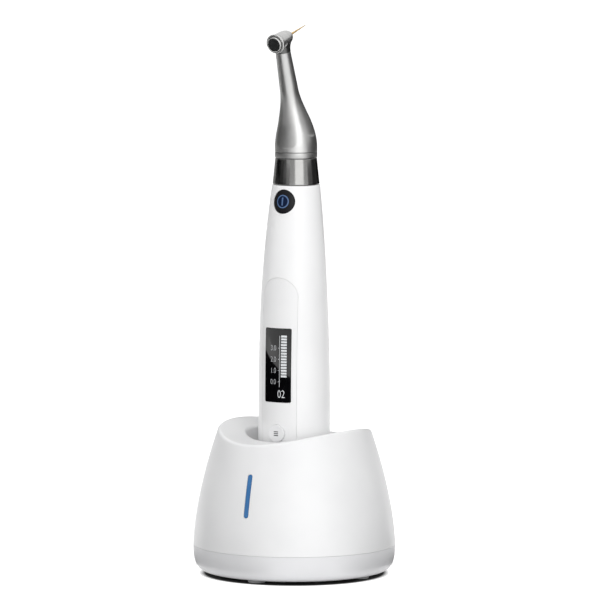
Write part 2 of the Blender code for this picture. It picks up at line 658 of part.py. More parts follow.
def build_program_button(panel, white, black):
    """The round button under the screen; its frame's local Z points out of the panel."""
    surface = grip_radius(PROGRAM_Z)
    frame = add_frame("program_axis", (0.0, -surface, PROGRAM_Z), math.pi / 2)
    hole = rod(PROGRAM_RADIUS + SEAM, -2 * GRIP_WALL, 2 * GRIP_WALL, MEDIUM)
    boolean(panel, add_cutter("program_hole", hole, frame))
    flange_radius = PROGRAM_RADIUS + GRIP_WALL / 2
    inside = surface - GRIP_WALL
    flange_high = -surface + math.sqrt(inside ** 2 - flange_radius ** 2) - GAP
    flange_low = flange_high - GRIP_WALL / 2
    outline = [(flange_radius, flange_low), (flange_radius, flange_high), (PROGRAM_RADIUS, flange_high),
               (PROGRAM_RADIUS, PROGRAM_PROUD), (PROGRAM_RADIUS / 2, PROGRAM_PROUD)]
    profile = rounded(outline, {3: PROGRAM_PROUD / 2})
    add_piece("program_button", turned(profile, MEDIUM), white, frame)
    half = SWITCH_SIZE / 2
    switch_low = board_front() - surface + GAP
    switch_high = flange_low - PROGRAM_TRAVEL - GAP
    add_piece("program_switch", block((-half, -half, switch_low), (half, half, switch_high)), black, frame)


def power_ring(share):
    """Ring at this share of the power button's radius; the face is a dome over the curve of the grip."""
    curve_radius = grip_radius(POWER_Z)
    ring = []
    for point in circle(POWER_RADIUS * share, POWER_PROUD * (1 - share ** 2), MEDIUM):
        fall = curve_radius - math.sqrt(curve_radius ** 2 - point.x ** 2)
        ring.append(point - Vector((0.0, 0.0, fall)))
    return ring


def build_power_button(shell, black, board):
    """The domed button under the collar; its frame's local Z points out of the grip, a little upwards."""
    step = GRIP_WALL
    low = grip_centre(POWER_Z - step) - grip_radius(POWER_Z - step)
    high = grip_centre(POWER_Z + step) - grip_radius(POWER_Z + step)
    lean = math.atan2(high - low, 2 * step)
    surface_y = grip_centre(POWER_Z) - grip_radius(POWER_Z)
    frame = add_frame("power_axis", (0.0, surface_y, POWER_Z), math.pi / 2 - lean)
    hole = rod(POWER_RADIUS + SEAM, -2 * GRIP_WALL, GRIP_WALL, MEDIUM)
    boolean(shell, add_cutter("power_hole", hole, frame))
    foot = -GRIP_WALL - SEAM
    rings = [circle(POWER_RADIUS, foot, MEDIUM)]
    rings += [power_ring(share) for share in (1.0, 0.85, 0.6, 0.3, 0.1)]
    add_piece("power_button", skin(rings), black, frame)
    half = SWITCH_SIZE / 2
    switch_high = foot - POWER_TRAVEL - GAP / 2
    switch_low = switch_high - SWITCH_HEIGHT
    add_piece("power_switch", block((-half, -half, switch_low), (half, half, switch_high)), black, frame)
    half += GRIP_WALL / 2
    board_high = switch_low - GAP
    add_piece("switch_board", block((-half, -half, board_high - BOARD_THICKNESS), (half, half, board_high)),
              board, frame)


def build_grip_inside(shell, board, black, steel, cell):
    half = MAIN_BOARD_WIDTH / 2
    front = -board_front()
    add_piece("main_board", block((-half, front, MAIN_BOARD_LOW_Z),
                                  (half, front + BOARD_THICKNESS, MAIN_BOARD_HIGH_Z)), board)
    half = SCREEN_WIDTH / 2 - GAP
    add_piece("display_module", block((-half, -display_front(), SCREEN_LOW_Z),
                                      (half, front - GAP, SCREEN_HIGH_Z)), black)

    inside = GRIP_RADIUS - GRIP_WALL
    battery_y = grip_radius(BATTERY_LOW_Z + BATTERY_LENGTH) - GRIP_WALL - BATTERY_RADIUS - GAP
    edge = BATTERY_RADIUS / 12
    nub = BATTERY_RADIUS / 3
    shoulder = BATTERY_LENGTH - edge
    outline = [(BATTERY_RADIUS / 2, 0.0), (BATTERY_RADIUS, 0.0), (BATTERY_RADIUS, shoulder), (nub, shoulder),
               (nub, BATTERY_LENGTH)]
    profile = rounded(outline, {1: edge, 2: edge}, steps=1)
    add_piece("battery_cell", turned(profile, MEDIUM), cell, location=(0.0, battery_y, BATTERY_LOW_Z))

    contact_high = GRIP_LOW_Z + BOTTOM_CAP_HEIGHT
    cap = add_piece("bottom_cap", rod(inside - GAP, GRIP_LOW_Z, contact_high, FINE), black)
    for name, x in (("left", -PIN_SPACING / 2), ("right", PIN_SPACING / 2)):
        hole = rod(CONTACT_RADIUS + GAP, GRIP_LOW_Z - BOTTOM_CAP_HEIGHT, 2 * contact_high, COARSE)
        boolean(cap, add_cutter("contact_hole", hole, location=(x, 0.0, 0.0)))
        add_piece(f"charge_contact_{name}", rod(CONTACT_RADIUS, CONTACT_Z, contact_high, COARSE), steel,
                  location=(x, 0.0, 0.0))

    back = grip_centre(SOCKET_Z) + grip_radius(SOCKET_Z)
    half_width = SOCKET_WIDTH / 2
    half_height = SOCKET_HEIGHT / 2
    face = grip_centre(SOCKET_Z) + math.sqrt(grip_radius(SOCKET_Z + half_height) ** 2 - half_width ** 2)
    grown = half_height + SEAM
    outline = round_rectangle(half_width + SEAM, SOCKET_Z - grown, SOCKET_Z + grown, half_height)
    boolean(shell, add_cutter("socket_window", prism_y(outline, back - SOCKET_DEPTH, back + GRIP_WALL)))
    outline = round_rectangle(half_width, SOCKET_Z - half_height, SOCKET_Z + half_height, half_height)
    socket = add_piece("lead_socket", prism_y(outline, face - SOCKET_DEPTH, face), black)
    rim = SOCKET_HEIGHT / 5
    outline = round_rectangle(half_width - rim, SOCKET_Z - half_height + rim, SOCKET_Z + half_height - rim,
                              half_height - rim)
    floor = face - SOCKET_DEPTH + rim
    boolean(socket, add_cutter("socket_slot", prism_y(outline, floor, face + GRIP_WALL)))


def build_drive(steel, dark_steel, brass):
    """Motor, gearhead and output shaft on the axis of the collar."""
    axis = add_frame("handpiece_axis", (0.0, AXIS_Y, 0.0))
    edge = MOTOR_RADIUS / 10
    motor_high = MOTOR_LOW_Z + MOTOR_LENGTH
    outline = [(MOTOR_RADIUS / 2, MOTOR_LOW_Z), (MOTOR_RADIUS, MOTOR_LOW_Z), (MOTOR_RADIUS, motor_high),
               (MOTOR_RADIUS / 2, motor_high)]
    profile = rounded(outline, {1: edge, 2: edge}, steps=1)
    add_piece("motor_can", turned(profile, MEDIUM), steel, axis)
    add_piece("gearhead", rod(GEARHEAD_RADIUS, GEARHEAD_LOW_Z, GEARHEAD_HIGH_Z, MEDIUM), dark_steel, axis)
    mount_high = GEARHEAD_HIGH_Z - GAP
    mount_low = mount_high - MOUNT_HEIGHT
    sideways = AXIS_Y - grip_centre(mount_low)
    mount_radius = grip_radius(mount_high) - GRIP_WALL - sideways - GAP
    mount = tube(GEARHEAD_RADIUS + GAP, mount_radius, mount_low, mount_high, FINE)
    add_piece("motor_mount", mount, dark_steel, axis)

    dog_high = COUPLING_Z - GAP
    dog_low = dog_high - 2 * DOG_RADIUS
    profile = [(SHAFT_RADIUS, GEARHEAD_HIGH_Z + GAP), (SHAFT_RADIUS, dog_low), (DOG_RADIUS, dog_low),
               (DOG_RADIUS, dog_high)]
    shaft = add_piece("motor_shaft", turned(profile, COARSE), steel, axis)
    half_slot = DOG_RADIUS / 4
    slot = block((-2 * DOG_RADIUS, -half_slot - GAP, dog_high - DOG_RADIUS),
                 (2 * DOG_RADIUS, half_slot + GAP, dog_high + DOG_RADIUS))
    boolean(shaft, add_cutter("dog_slot", slot, axis))
    add_piece("output_bearing", tube(SHAFT_RADIUS + GAP, BEARING_SEAT_RADIUS - GAP, SPIGOT_LOW_Z + GAP,
                                     BEARING_SEAT_Z - GAP, MEDIUM), brass, axis)


def build_collar(chrome, steel, rubber):
    axis = add_frame("collar_axis", (0.0, AXIS_Y, 0.0))
    spigot = GRIP_TOP_RADIUS - GRIP_WALL - GAP
    bore = NOSE_RADIUS + GAP
    seat = BEARING_SEAT_RADIUS
    profile = [(COLLAR_LOW_RADIUS, COLLAR_LOW_Z), (COLLAR_HIGH_RADIUS, COLLAR_HIGH_Z), (bore, COLLAR_HIGH_Z),
               (bore, BEARING_SEAT_Z), (seat, BEARING_SEAT_Z), (seat, SPIGOT_LOW_Z), (spigot, SPIGOT_LOW_Z),
               (spigot, COLLAR_LOW_Z)]
    add_piece("collar_ring", turned(profile, FINE, looped=True), chrome, axis)

    nose_bore = NOSE_RADIUS - NOSE_WALL
    groove = NOSE_RADIUS - O_RING_THICKNESS - GAP
    half_groove = O_RING_THICKNESS / 2 + GAP
    edge = NOSE_WALL / 4
    outline = [(nose_bore, BEARING_SEAT_Z + GAP), (NOSE_RADIUS, BEARING_SEAT_Z + GAP),
               (NOSE_RADIUS, O_RING_Z - half_groove), (groove, O_RING_Z - half_groove),
               (groove, O_RING_Z + half_groove), (NOSE_RADIUS, O_RING_Z + half_groove),
               (NOSE_RADIUS, NOSE_TOP_Z), (nose_bore, NOSE_TOP_Z)]
    profile = rounded(outline, {6: edge}, steps=1)
    add_piece("coupling_nose", turned(profile, MEDIUM, looped=True), steel, axis)
    half = O_RING_THICKNESS / 2
    middle = groove + GAP + half
    section = [(middle + half * math.cos(math.pi * k / 3), O_RING_Z + half * math.sin(math.pi * k / 3))
               for k in range(6)]
    add_piece("nose_o_ring", turned(section, MEDIUM, looped=True), rubber, axis)


# Shapes of the contra-angle

def neck_point(z):
    """Middle of the sleeve or neck at this height, and the lean of its axis there."""
    bend_end_z = BEND_START_Z + BEND_RADIUS * math.sin(NECK_TILT)
    if z <= BEND_START_Z:
        return Vector((0.0, 0.0, z)), 0.0
    if z <= bend_end_z:
        lean = math.asin((z - BEND_START_Z) / BEND_RADIUS)
        return Vector((0.0, -BEND_RADIUS * (1 - math.cos(lean)), z)), lean
    return Vector((0.0, -(z - BEND_Z) * math.tan(NECK_TILT), z)), NECK_TILT


def neck_radius(z):
    head_z = BEND_Z + NECK_LENGTH * math.cos(NECK_TILT)
    if z <= FLARE_HIGH_Z:
        share = min(max((z - FLARE_LOW_Z) / (FLARE_HIGH_Z - FLARE_LOW_Z), 0.0), 1.0)
        return SLEEVE_RADIUS - (SLEEVE_RADIUS - NECK_RADIUS) * share * share * (3 - 2 * share)
    share = (z - FLARE_HIGH_Z) / (head_z - FLARE_HIGH_Z)
    return NECK_RADIUS - (NECK_RADIUS - NECK_END_RADIUS) * share


def neck_ring(z):
    middle, lean = neck_point(z)
    turn = Matrix.Translation(middle) @ Matrix.Rotation(lean, 4, "X")
    return [turn @ point for point in circle(neck_radius(z), 0.0, MEDIUM)]


def build_sleeve(satin):
    """Sleeve and neck in one piece, trimmed where the head sits."""
    axis = add_frame("contra_axis", (0.0, AXIS_Y, 0.0))
    head_z = BEND_Z + NECK_LENGTH * math.cos(NECK_TILT)
    flare = [FLARE_LOW_Z + (FLARE_HIGH_Z - FLARE_LOW_Z) * k / 10 for k in range(11)]
    rings = [neck_ring(z) for z in (SLEEVE_LOW_Z, *flare, (FLARE_HIGH_Z + head_z) / 2, head_z)]
    sleeve = add_piece("contra_sleeve", skin(rings), satin, axis)

    half_chord = (SCALLOP_HIGH_Z - SCALLOP_LOW_Z) / 2
    reach = (half_chord ** 2 + SCALLOP_DEPTH ** 2) / (2 * SCALLOP_DEPTH)
    half_angle = math.asin(half_chord / reach)
    middle_z = (SCALLOP_LOW_Z + SCALLOP_HIGH_Z) / 2
    middle_y = -SLEEVE_RADIUS + SCALLOP_DEPTH - reach
    arc = 10
    outline = []
    for k in range(-arc, arc + 1):
        angle = half_angle * k / arc
        outline.append((middle_y + reach * math.cos(angle), middle_z + reach * math.sin(angle)))
    outline += [(-2 * SLEEVE_RADIUS, SCALLOP_HIGH_Z), (-2 * SLEEVE_RADIUS, SCALLOP_LOW_Z)]
    scoop = skin([[Vector((x, y, z)) for y, z in outline] for x in (-SLEEVE_RADIUS, SLEEVE_RADIUS)])
    boolean(sleeve, add_cutter("scallop", scoop, axis))

    bearing = INPUT_SHAFT_RADIUS + SMALL_BEARING_WALL + 2 * GAP
    passage = BEND_GEAR_RADIUS + 2 * GAP
    low_passage = passage + GAP
    profile = [(SLEEVE_BORE, SLEEVE_LOW_Z - GRIP_WALL), (SLEEVE_BORE, INPUT_BEARING_Z),
               (bearing, INPUT_BEARING_Z), (bearing, LOW_GEAR_Z), (low_passage, LOW_GEAR_Z),
               (low_passage, BEND_Z + BEND_GEAR_SPACE)]
    boolean(sleeve, add_cutter("sleeve_bore", turned(profile, MEDIUM), axis))

    neck = add_frame("neck_frame", (0.0, AXIS_Y, BEND_Z), NECK_TILT)
    shaft = NECK_SHAFT_RADIUS + GAP
    gear_end = BEND_GEAR_SPACE + BEND_GEAR_LENGTH + GAP
    bearing_low = NECK_LENGTH - neck_bearing_depth()
    mouth = NECK_SHAFT_RADIUS + SMALL_BEARING_WALL + 2 * GAP
    profile = [(passage, 0.0), (passage, gear_end), (shaft, gear_end), (shaft, bearing_low - GAP),
               (mouth, bearing_low - GAP), (mouth, NECK_LENGTH + HEAD_RADIUS)]
    boolean(sleeve, add_cutter("neck_bore", turned(profile, COARSE), neck))
    trim = turned([(head_radius(z) + SEAM, z) for z in (-HEAD_BACK, SHOULDER)], FINE)
    boolean(sleeve, add_cutter("head_space", trim, head_frame("head_trim")))


def neck_bearing_depth():
    """How far below the middle of the head the neck bearing starts."""
    return HEAD_RADIUS + 2 * SMALL_BEARING_LENGTH


def head_radius(z):
    """Outer radius of the head at this place on its own axis, from the cap to the shoulder."""
    share = (z + HEAD_BACK) / (SHOULDER + HEAD_BACK)
    return HEAD_RADIUS - (HEAD_RADIUS - HEAD_SHOULDER_RADIUS) * share


def head_frame(name):
    """Frame at the middle of the head; local Z runs along the file, towards its tip."""
    forward = NECK_LENGTH * math.sin(NECK_TILT)
    up = NECK_LENGTH * math.cos(NECK_TILT)
    return add_frame(name, (0.0, AXIS_Y - forward, BEND_Z + up), HEAD_TILT - math.pi / 2)


def build_swivel_ring(satin):
    axis = add_frame("swivel_axis", (0.0, AXIS_Y, 0.0))
    inner = SLEEVE_RADIUS - SWIVEL_RING_WALL
    ring = tube(inner, SLEEVE_RADIUS, RING_LOW_Z, RING_LOW_Z + SWIVEL_RING_HEIGHT, FINE)
    add_piece("swivel_ring", ring, satin, axis)


def build_gear_train(steel, brass):
    """Input shaft, neck shaft and their bearings; the bevel gears face each other at the bend."""
    axis = add_frame("input_axis", (0.0, AXIS_Y, 0.0))
    sides = 3 * BEND_TEETH
    rings = [circle(INPUT_SHAFT_RADIUS, z, sides) for z in (COUPLING_Z, LOW_GEAR_Z)]
    rings += [gear_circle(BEND_GEAR_RADIUS, z, BEND_TEETH) for z in (LOW_GEAR_Z, LOW_GEAR_HIGH_Z)]
    add_piece("input_shaft", skin(rings), steel, axis)
    ring = tube(INPUT_SHAFT_RADIUS + GAP, INPUT_SHAFT_RADIUS + GAP + SMALL_BEARING_WALL, INPUT_BEARING_Z,
                INPUT_BEARING_Z + SMALL_BEARING_LENGTH, COARSE)
    add_piece("input_bearing", ring, brass, axis)

    neck = add_frame("neck_axis", (0.0, AXIS_Y, BEND_Z), NECK_TILT)
    gear_high = BEND_GEAR_SPACE + BEND_GEAR_LENGTH
    pinion_high = NECK_LENGTH - PINION_REACH
    pinion_low = pinion_high - PINION_LENGTH
    rings = [gear_circle(BEND_GEAR_RADIUS, BEND_GEAR_SPACE, BEND_TEETH),
             gear_circle(BEND_GEAR_RADIUS, gear_high, BEND_TEETH)]
    rings += [circle(NECK_SHAFT_RADIUS, z, sides) for z in (gear_high, pinion_low)]
    neck_shaft = add_piece("neck_shaft", skin(rings), steel, neck)
    ends = (pinion_low - TOOTH_DEPTH, pinion_high)
    pinion = skin([gear_circle(PINION_RADIUS, z, PINION_TEETH) for z in ends])
    boolean(neck_shaft, add_cutter("pinion", pinion, neck), "UNION")
    bearing_low = NECK_LENGTH - neck_bearing_depth()
    ring = tube(NECK_SHAFT_RADIUS + GAP, NECK_SHAFT_RADIUS + GAP + SMALL_BEARING_WALL, bearing_low,
                bearing_low + SMALL_BEARING_LENGTH, COARSE)
    add_piece("neck_bearing", ring, brass, neck)


def build_head(satin, chrome, dark, steel, brass):
    head = head_frame("head_axis")
    back = CAP_RING_HIGH + SEAM
    inner_end = HEAD_FRONT - HEAD_NOSE_WALL
    bore_step = CROWN_HIGH + GAP
    outline = [(HEAD_BORE, bore_step), (HEAD_BORE, back), (head_radius(back), back)]
    nose_steps = 5
    for k in range(nose_steps + 1):
        angle = math.pi / 2 * k / nose_steps
        radius = HEAD_TIP_RADIUS + (HEAD_SHOULDER_RADIUS - HEAD_TIP_RADIUS) * math.cos(angle)
        outline.append((radius, SHOULDER + HEAD_NOSE_LENGTH * math.sin(angle)))
    outline += [(NOSE_BORE, HEAD_FRONT), (NOSE_BORE, inner_end), (HEAD_FRONT_BORE, inner_end),
                (HEAD_FRONT_BORE, bore_step)]
    housing = add_piece("head_housing", turned(outline, FINE, looped=True), satin, head)
    neck = add_frame("pinion_frame", (0.0, AXIS_Y, BEND_Z), NECK_TILT)
    way = rod(PINION_RADIUS + GAP, NECK_LENGTH - 2 * HEAD_RADIUS, NECK_LENGTH, COARSE)
    boolean(housing, add_cutter("pinion_way", way, neck))

    edge = CAP_RING_WALL / 3
    ring_inner = HEAD_RADIUS - CAP_RING_WALL
    outline = [(ring_inner, CAP_RING_HIGH), (ring_inner, CAP_RING_LOW),
               (head_radius(CAP_RING_LOW), CAP_RING_LOW), (head_radius(CAP_RING_HIGH), CAP_RING_HIGH)]
    profile = rounded(outline, {1: edge, 2: edge}, steps=2)
    add_piece("cap_ring", turned(profile, FINE, looped=True), chrome, head)
    cap_radius = ring_inner - SEAM
    rim = CAP_DISH * 2
    profile = [(cap_radius, CAP_HEIGHT), (cap_radius, rim), (cap_radius - rim, 0.0),
               (cap_radius - 2 * rim, 0.0), (cap_radius - 2 * rim - CAP_DISH, CAP_DISH)]
    add_piece("push_cap", turned(profile, MEDIUM), dark, head, (0.0, 0.0, -HEAD_BACK))

    spring_inner = SPINDLE_RADIUS - GAP
    spring_outer = HEAD_BORE - SEAM
    lean = CAP_SPRING_HEIGHT / 2
    profile = [(spring_inner, CAP_SPRING_LOW), (spring_outer, CAP_SPRING_LOW + lean),
               (spring_outer, CAP_SPRING_HIGH), (spring_inner, CAP_SPRING_HIGH - lean)]
    add_piece("cap_spring", turned(profile, MEDIUM, looped=True), steel, head)

    sides = 3 * CROWN_TEETH
    spindle_high = HEAD_FRONT + GAP
    rings = [circle(SPINDLE_BORE, SPINDLE_LOW, sides), circle(SPINDLE_RADIUS, SPINDLE_LOW, sides),
             circle(SPINDLE_RADIUS, CROWN_LOW, sides), gear_circle(CROWN_RADIUS, CROWN_LOW, CROWN_TEETH),
             gear_circle(CROWN_RADIUS, CROWN_HIGH, CROWN_TEETH), circle(SPINDLE_RADIUS, CROWN_HIGH, sides),
             circle(SPINDLE_RADIUS, spindle_high, sides), circle(SPINDLE_BORE, spindle_high, sides)]
    add_piece("chuck_spindle", skin(rings, looped=True), steel, head)

    front_high = inner_end - GAP
    places = (("head_bearing_back", HEAD_BORE, SPINDLE_LOW + GAP, -CROWN_LOW),
              ("head_bearing_front", HEAD_FRONT_BORE, front_high - SMALL_BEARING_LENGTH, front_high))
    for name, bore, low, high in places:
        add_piece(name, tube(SPINDLE_RADIUS + SEAM, bore - SEAM, low, high, MEDIUM), brass, head)


def build_file(gold):
    """The latch shank stands in the chuck, and the tapered working part runs on from it."""
    head = head_frame("file_axis")
    shank_low = SPINDLE_LOW + GAP
    shank_high = HEAD_FRONT + FILE_SHANK_PROUD
    tip = shank_high + FILE_LENGTH
    edge = FILE_SHANK_RADIUS / 2
    profile = rounded([(FILE_SHANK_RADIUS, shank_low), (FILE_SHANK_RADIUS, shank_high),
                       (FILE_ROOT_RADIUS, shank_high), (FILE_TIP_RADIUS, tip)], {1: edge}, steps=2)
    add_piece("root_canal_file", turned(profile, COARSE), gold, head)


def main():
    clear_scene()
    white = make_material("gloss_white_plastic", (0.86, 0.86, 0.86), 0.22)
    panel_white = make_material("panel_white_plastic", (0.88, 0.88, 0.88), 0.28)
    tray_white = make_material("tray_white_plastic", (0.78, 0.78, 0.79), 0.30)
    button_white = make_material("button_white_plastic", (0.84, 0.84, 0.84), 0.35)
    glass = make_material("black_glass", (0.01, 0.01, 0.012), 0.08)
    black = make_material("black_plastic", (0.02, 0.02, 0.022), 0.35)
    rubber = make_material("grey_rubber", (0.12, 0.12, 0.12), 0.8)
    light = make_material("blue_light", (0.06, 0.18, 0.42), 0.25)
    satin = make_material("satin_steel", (0.62, 0.63, 0.64), 0.34, 1.0)
    chrome = make_material("dark_chrome", (0.32, 0.33, 0.34), 0.12, 1.0)
    steel = make_material("steel", (0.58, 0.58, 0.60), 0.30, 1.0)
    dark_steel = make_material("dark_steel", (0.20, 0.20, 0.21), 0.40, 1.0)
    brass = make_material("brass", (0.72, 0.58, 0.28), 0.30, 1.0)
    gold = make_material("gold_titanium", (0.80, 0.68, 0.42), 0.30, 1.0)
    board = make_material("green_board", (0.03, 0.16, 0.07), 0.50)
    cell = make_material("cell_sleeve", (0.05, 0.18, 0.40), 0.40)

    build_top_shell(white, light)
    build_tray(tray_white)
    build_feet(rubber)
    build_case_screws(steel)
    build_base_inside(steel, board, brass, black)
    shell, panel = build_grip(white, panel_white, glass)
    build_program_button(panel, button_white, black)
    build_power_button(shell, black, board)
    build_grip_inside(shell, board, black, steel, cell)
    build_drive(steel, dark_steel, brass)
    build_collar(chrome, steel, rubber)
    build_swivel_ring(satin)
    build_sleeve(satin)
    build_gear_train(steel, brass)
    build_head(satin, chrome, dark_steel, steel, brass)
    build_file(gold)


main()
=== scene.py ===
"""Looks of the endodontic motor: fine shells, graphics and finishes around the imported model.

Metres, +Z up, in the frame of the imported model. The screen faces -Y.
"""

import json
import math

import bmesh
import bpy
from mathutils import Matrix, Vector


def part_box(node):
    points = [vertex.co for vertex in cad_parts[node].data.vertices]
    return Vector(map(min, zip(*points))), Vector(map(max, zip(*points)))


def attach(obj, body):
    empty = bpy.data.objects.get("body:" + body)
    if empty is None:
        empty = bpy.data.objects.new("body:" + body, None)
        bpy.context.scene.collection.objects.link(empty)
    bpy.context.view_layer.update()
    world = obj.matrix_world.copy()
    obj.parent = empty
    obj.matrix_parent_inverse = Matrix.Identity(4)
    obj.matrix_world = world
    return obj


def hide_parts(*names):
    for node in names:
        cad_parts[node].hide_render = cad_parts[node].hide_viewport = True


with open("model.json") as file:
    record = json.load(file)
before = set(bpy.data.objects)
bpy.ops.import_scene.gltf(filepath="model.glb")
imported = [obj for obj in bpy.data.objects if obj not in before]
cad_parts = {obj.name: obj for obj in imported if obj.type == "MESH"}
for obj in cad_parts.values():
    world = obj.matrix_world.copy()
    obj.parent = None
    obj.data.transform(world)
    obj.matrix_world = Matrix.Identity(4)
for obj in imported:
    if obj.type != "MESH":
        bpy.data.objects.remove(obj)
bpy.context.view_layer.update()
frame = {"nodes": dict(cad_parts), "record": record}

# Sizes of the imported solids; the valley and the side of the tray are rounder than theirs, as in the photo
SEAM = 0.0002               # joint line between two outer shells
FINE_SEAM = 0.0001          # joint line that hardly shows
PIN_CLEARANCE = 0.0003

BASE_RADIUS = 0.04565       # at the parting line
BASE_TAPER = 0.0119         # how much narrower the base is at TAPER_TOP_Z
TAPER_TOP_Z = 0.0678
TAPER_POWER = 1.6
PARTING_Z = 0.01335
VALLEY_Z = 0.0618           # bottom of the valley across the top of the base, at its front end
VALLEY_TOP_Z = 0.0684
VALLEY_ROUND = 0.0275
VALLEY_FALL = 0.0016        # how much lower its bottom is at its back end
VALLEY_TURN = math.radians(-9.0)
VALLEY_LEAN = 0.0005        # its left side is higher by this, and its right side lower
RIM_ROUND = 0.0016
BASE_WALL = 0.0024
TRAY_ROUND = 0.0065
TRAY_RISE = 0.0105          # the side of the tray curves in from this height above its bottom
WELL_HALF_WIDTH = 0.0224
WELL_HALF_DEPTH = 0.0192
WELL_LIP_ROUND = 0.0013
WELL_FLOOR_Z = 0.0200

GRIP_RADIUS = 0.0162
GRIP_TOP_RADIUS = 0.01075
GRIP_STRAIGHT_Z = 0.0700
GRIP_POWER = 2.3
GRIP_WALL = 0.0020
GRIP_LEAN_Z = 0.1200
LEAN_POWER = 1.5
GRIP_BOTTOM_ROUND = 0.0018
GRIP_TOP_ROUND = 0.0006
AXIS_Y = 0.0017             # the axis of the collar and the contra-angle
PANEL_HALF_WIDTH = 0.0088
PANEL_TOP_Z = 0.1350
SCREEN_CORNER = 0.0005
PROGRAM_Z = 0.0650
PROGRAM_RADIUS = 0.0040
PROGRAM_PROUD = 0.0005
POWER_Z = 0.1690
POWER_RADIUS = 0.0053
POWER_PROUD = 0.0006

SLEEVE_RADIUS = 0.0095
NECK_RADIUS = 0.0041
NECK_END_RADIUS = 0.0031
FLARE_LOW_Z = 0.1930
FLARE_HIGH_Z = 0.2200
BEND_START_Z = 0.1920
BEND_RADIUS = 0.0440
NECK_TILT = math.radians(17.5)
NECK_LENGTH = 0.0447
SLEEVE_BORE = 0.0076
SLEEVE_BORE_DEPTH = 0.0050
HEAD_TILT = math.radians(14.5)
HEAD_RADIUS = 0.00425
HEAD_SHOULDER_RADIUS = 0.00335
HEAD_BORE = 0.0031
HEAD_BACK = 0.0067
HEAD_FRONT = 0.0069
HEAD_NOSE_LENGTH = 0.0022
NOSE_BORE = 0.0018
CAP_PROUD = 0.0010
CAP_HEIGHT = 0.0020
CAP_RING_HEIGHT = 0.0018
CAP_RING_WALL = 0.0008
SHANK_RADIUS = 0.00117
SHANK_PROUD = 0.0019
FILE_ROOT_RADIUS = 0.00055
FILE_TIP_RADIUS = 0.00016
FILE_LENGTH = 0.0136

# Places read from the frame
GRIP_LOW_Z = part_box("handpiece_shell")[0].z
GRIP_TOP_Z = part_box("handpiece_shell")[1].z
TRAY_BOTTOM_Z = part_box("base_tray")[0].z
SCREEN_LOW, SCREEN_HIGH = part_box("screen_lens")
COLLAR_LOW, COLLAR_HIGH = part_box("collar_ring")
RING_LOW, RING_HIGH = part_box("swivel_ring")
SLEEVE_LOW_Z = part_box("contra_sleeve")[0].z
BEND_Z = BEND_START_Z + BEND_RADIUS * math.tan(NECK_TILT / 2)
HEAD_Z = BEND_Z + NECK_LENGTH * math.cos(NECK_TILT)
SHOULDER = HEAD_FRONT - HEAD_NOSE_LENGTH
CAP_RING_LOW = CAP_PROUD - HEAD_BACK
CAP_RING_HIGH = CAP_RING_LOW + CAP_RING_HEIGHT
CAP_EDGE = 0.0004           # rounding of the push cap
BEZEL_BEAD = 0.0003         # how far the ring around the push cap stands out from the head

# Sides of round pieces
AROUND_BASE = 160
AROUND_GRIP = 128
AROUND_SYMBOL = 96
AROUND_SMALL = 72
AROUND_FOOT = 40
AROUND_HOLE = 32
AROUND_FILE = 24

CREASE = 32                 # degrees; edges that are flatter than this are shaded smooth
FINE_CREASE = 24


# Mesh helpers

def directions(sides):
    """Evenly spaced unit vectors around Z; a flat side, not a corner, faces the front."""
    turn = 2 * math.pi / sides
    return [Vector((math.sin((i + 0.5) * turn), -math.cos((i + 0.5) * turn), 0.0)) for i in range(sides)]


def circle(radius, z, sides, centre=(0.0, 0.0)):
    middle = Vector((*centre, z))
    return [middle + radius * way for way in directions(sides)]


def skin(rings, looped=False):
    """Join a stack of rings; a looped stack meets itself, any other stack gets flat ends."""
    bm = bmesh.new()
    loops = [[bm.verts.new(point) for point in ring] for ring in rings]
    pairs = list(zip(loops, loops[1:]))
    if looped:
        pairs.append((loops[-1], loops[0]))
    else:
        bm.faces.new(loops[0])
        bm.faces.new(loops[-1])
    count = len(loops[0])
    for low, high in pairs:
        for i in range(count):
            j = (i + 1) % count
            bm.faces.new((low[i], low[j], high[j], high[i]))
    bmesh.ops.recalc_face_normals(bm, faces=bm.faces)
    return bm


def rounded(points, radii, steps=6):
    """Round corners of an outline.

    radii maps a point's index to its fillet, or to a pair: how far it reaches back and how far ahead.
    """
    made = []
    for i, point in enumerate(points):
        here = Vector(point)
        if i not in radii:
            made.append(here)
            continue
        first, second = radii[i] if isinstance(radii[i], tuple) else (radii[i], radii[i])
        before = (Vector(points[i - 1]) - here).normalized() * first
        after = (Vector(points[i + 1]) - here).normalized() * second
        for k in range(steps + 1):
            t = k / steps
            made.append(here + before * (1 - t) ** 2 + after * t ** 2)
    return made


def turned(profile, sides, looped=False):
    return skin([circle(radius, z, sides) for radius, z in profile], looped)


def spread(low, high, count):
    return [low + (high - low) * k / (count - 1) for k in range(count)]


def moved(bm, matrix):
    bmesh.ops.transform(bm, matrix=matrix, verts=bm.verts)
    return bm


def prism_y(outline, low_y, high_y):
    """Extrude an outline of (x, z) points along Y."""
    return skin([[Vector((x, y, z)) for x, z in outline] for y in (low_y, high_y)])


def round_rectangle(half_width, low, high, corner, steps=6):
    """Outline of (x, z) points with four round corners."""
    points = []
    for side, z, start in ((1, low, -90), (1, high, 0), (-1, high, 90), (-1, low, 180)):
        middle_x = side * (half_width - corner)
        middle_z = z + corner if z == low else z - corner
        for k in range(steps + 1):
            angle = math.radians(start + 90 * k / steps)
            points.append((middle_x + corner * math.cos(angle), middle_z + corner * math.sin(angle)))
    same = 1e-7
    return [point for i, point in enumerate(points) if math.dist(point, points[i - 1]) > same]


def new_object(name, bm):
    mesh = bpy.data.meshes.new(name)
    bm.to_mesh(mesh)
    bm.free()
    made = bpy.data.objects.new(name, mesh)
    bpy.context.scene.collection.objects.link(made)
    return made


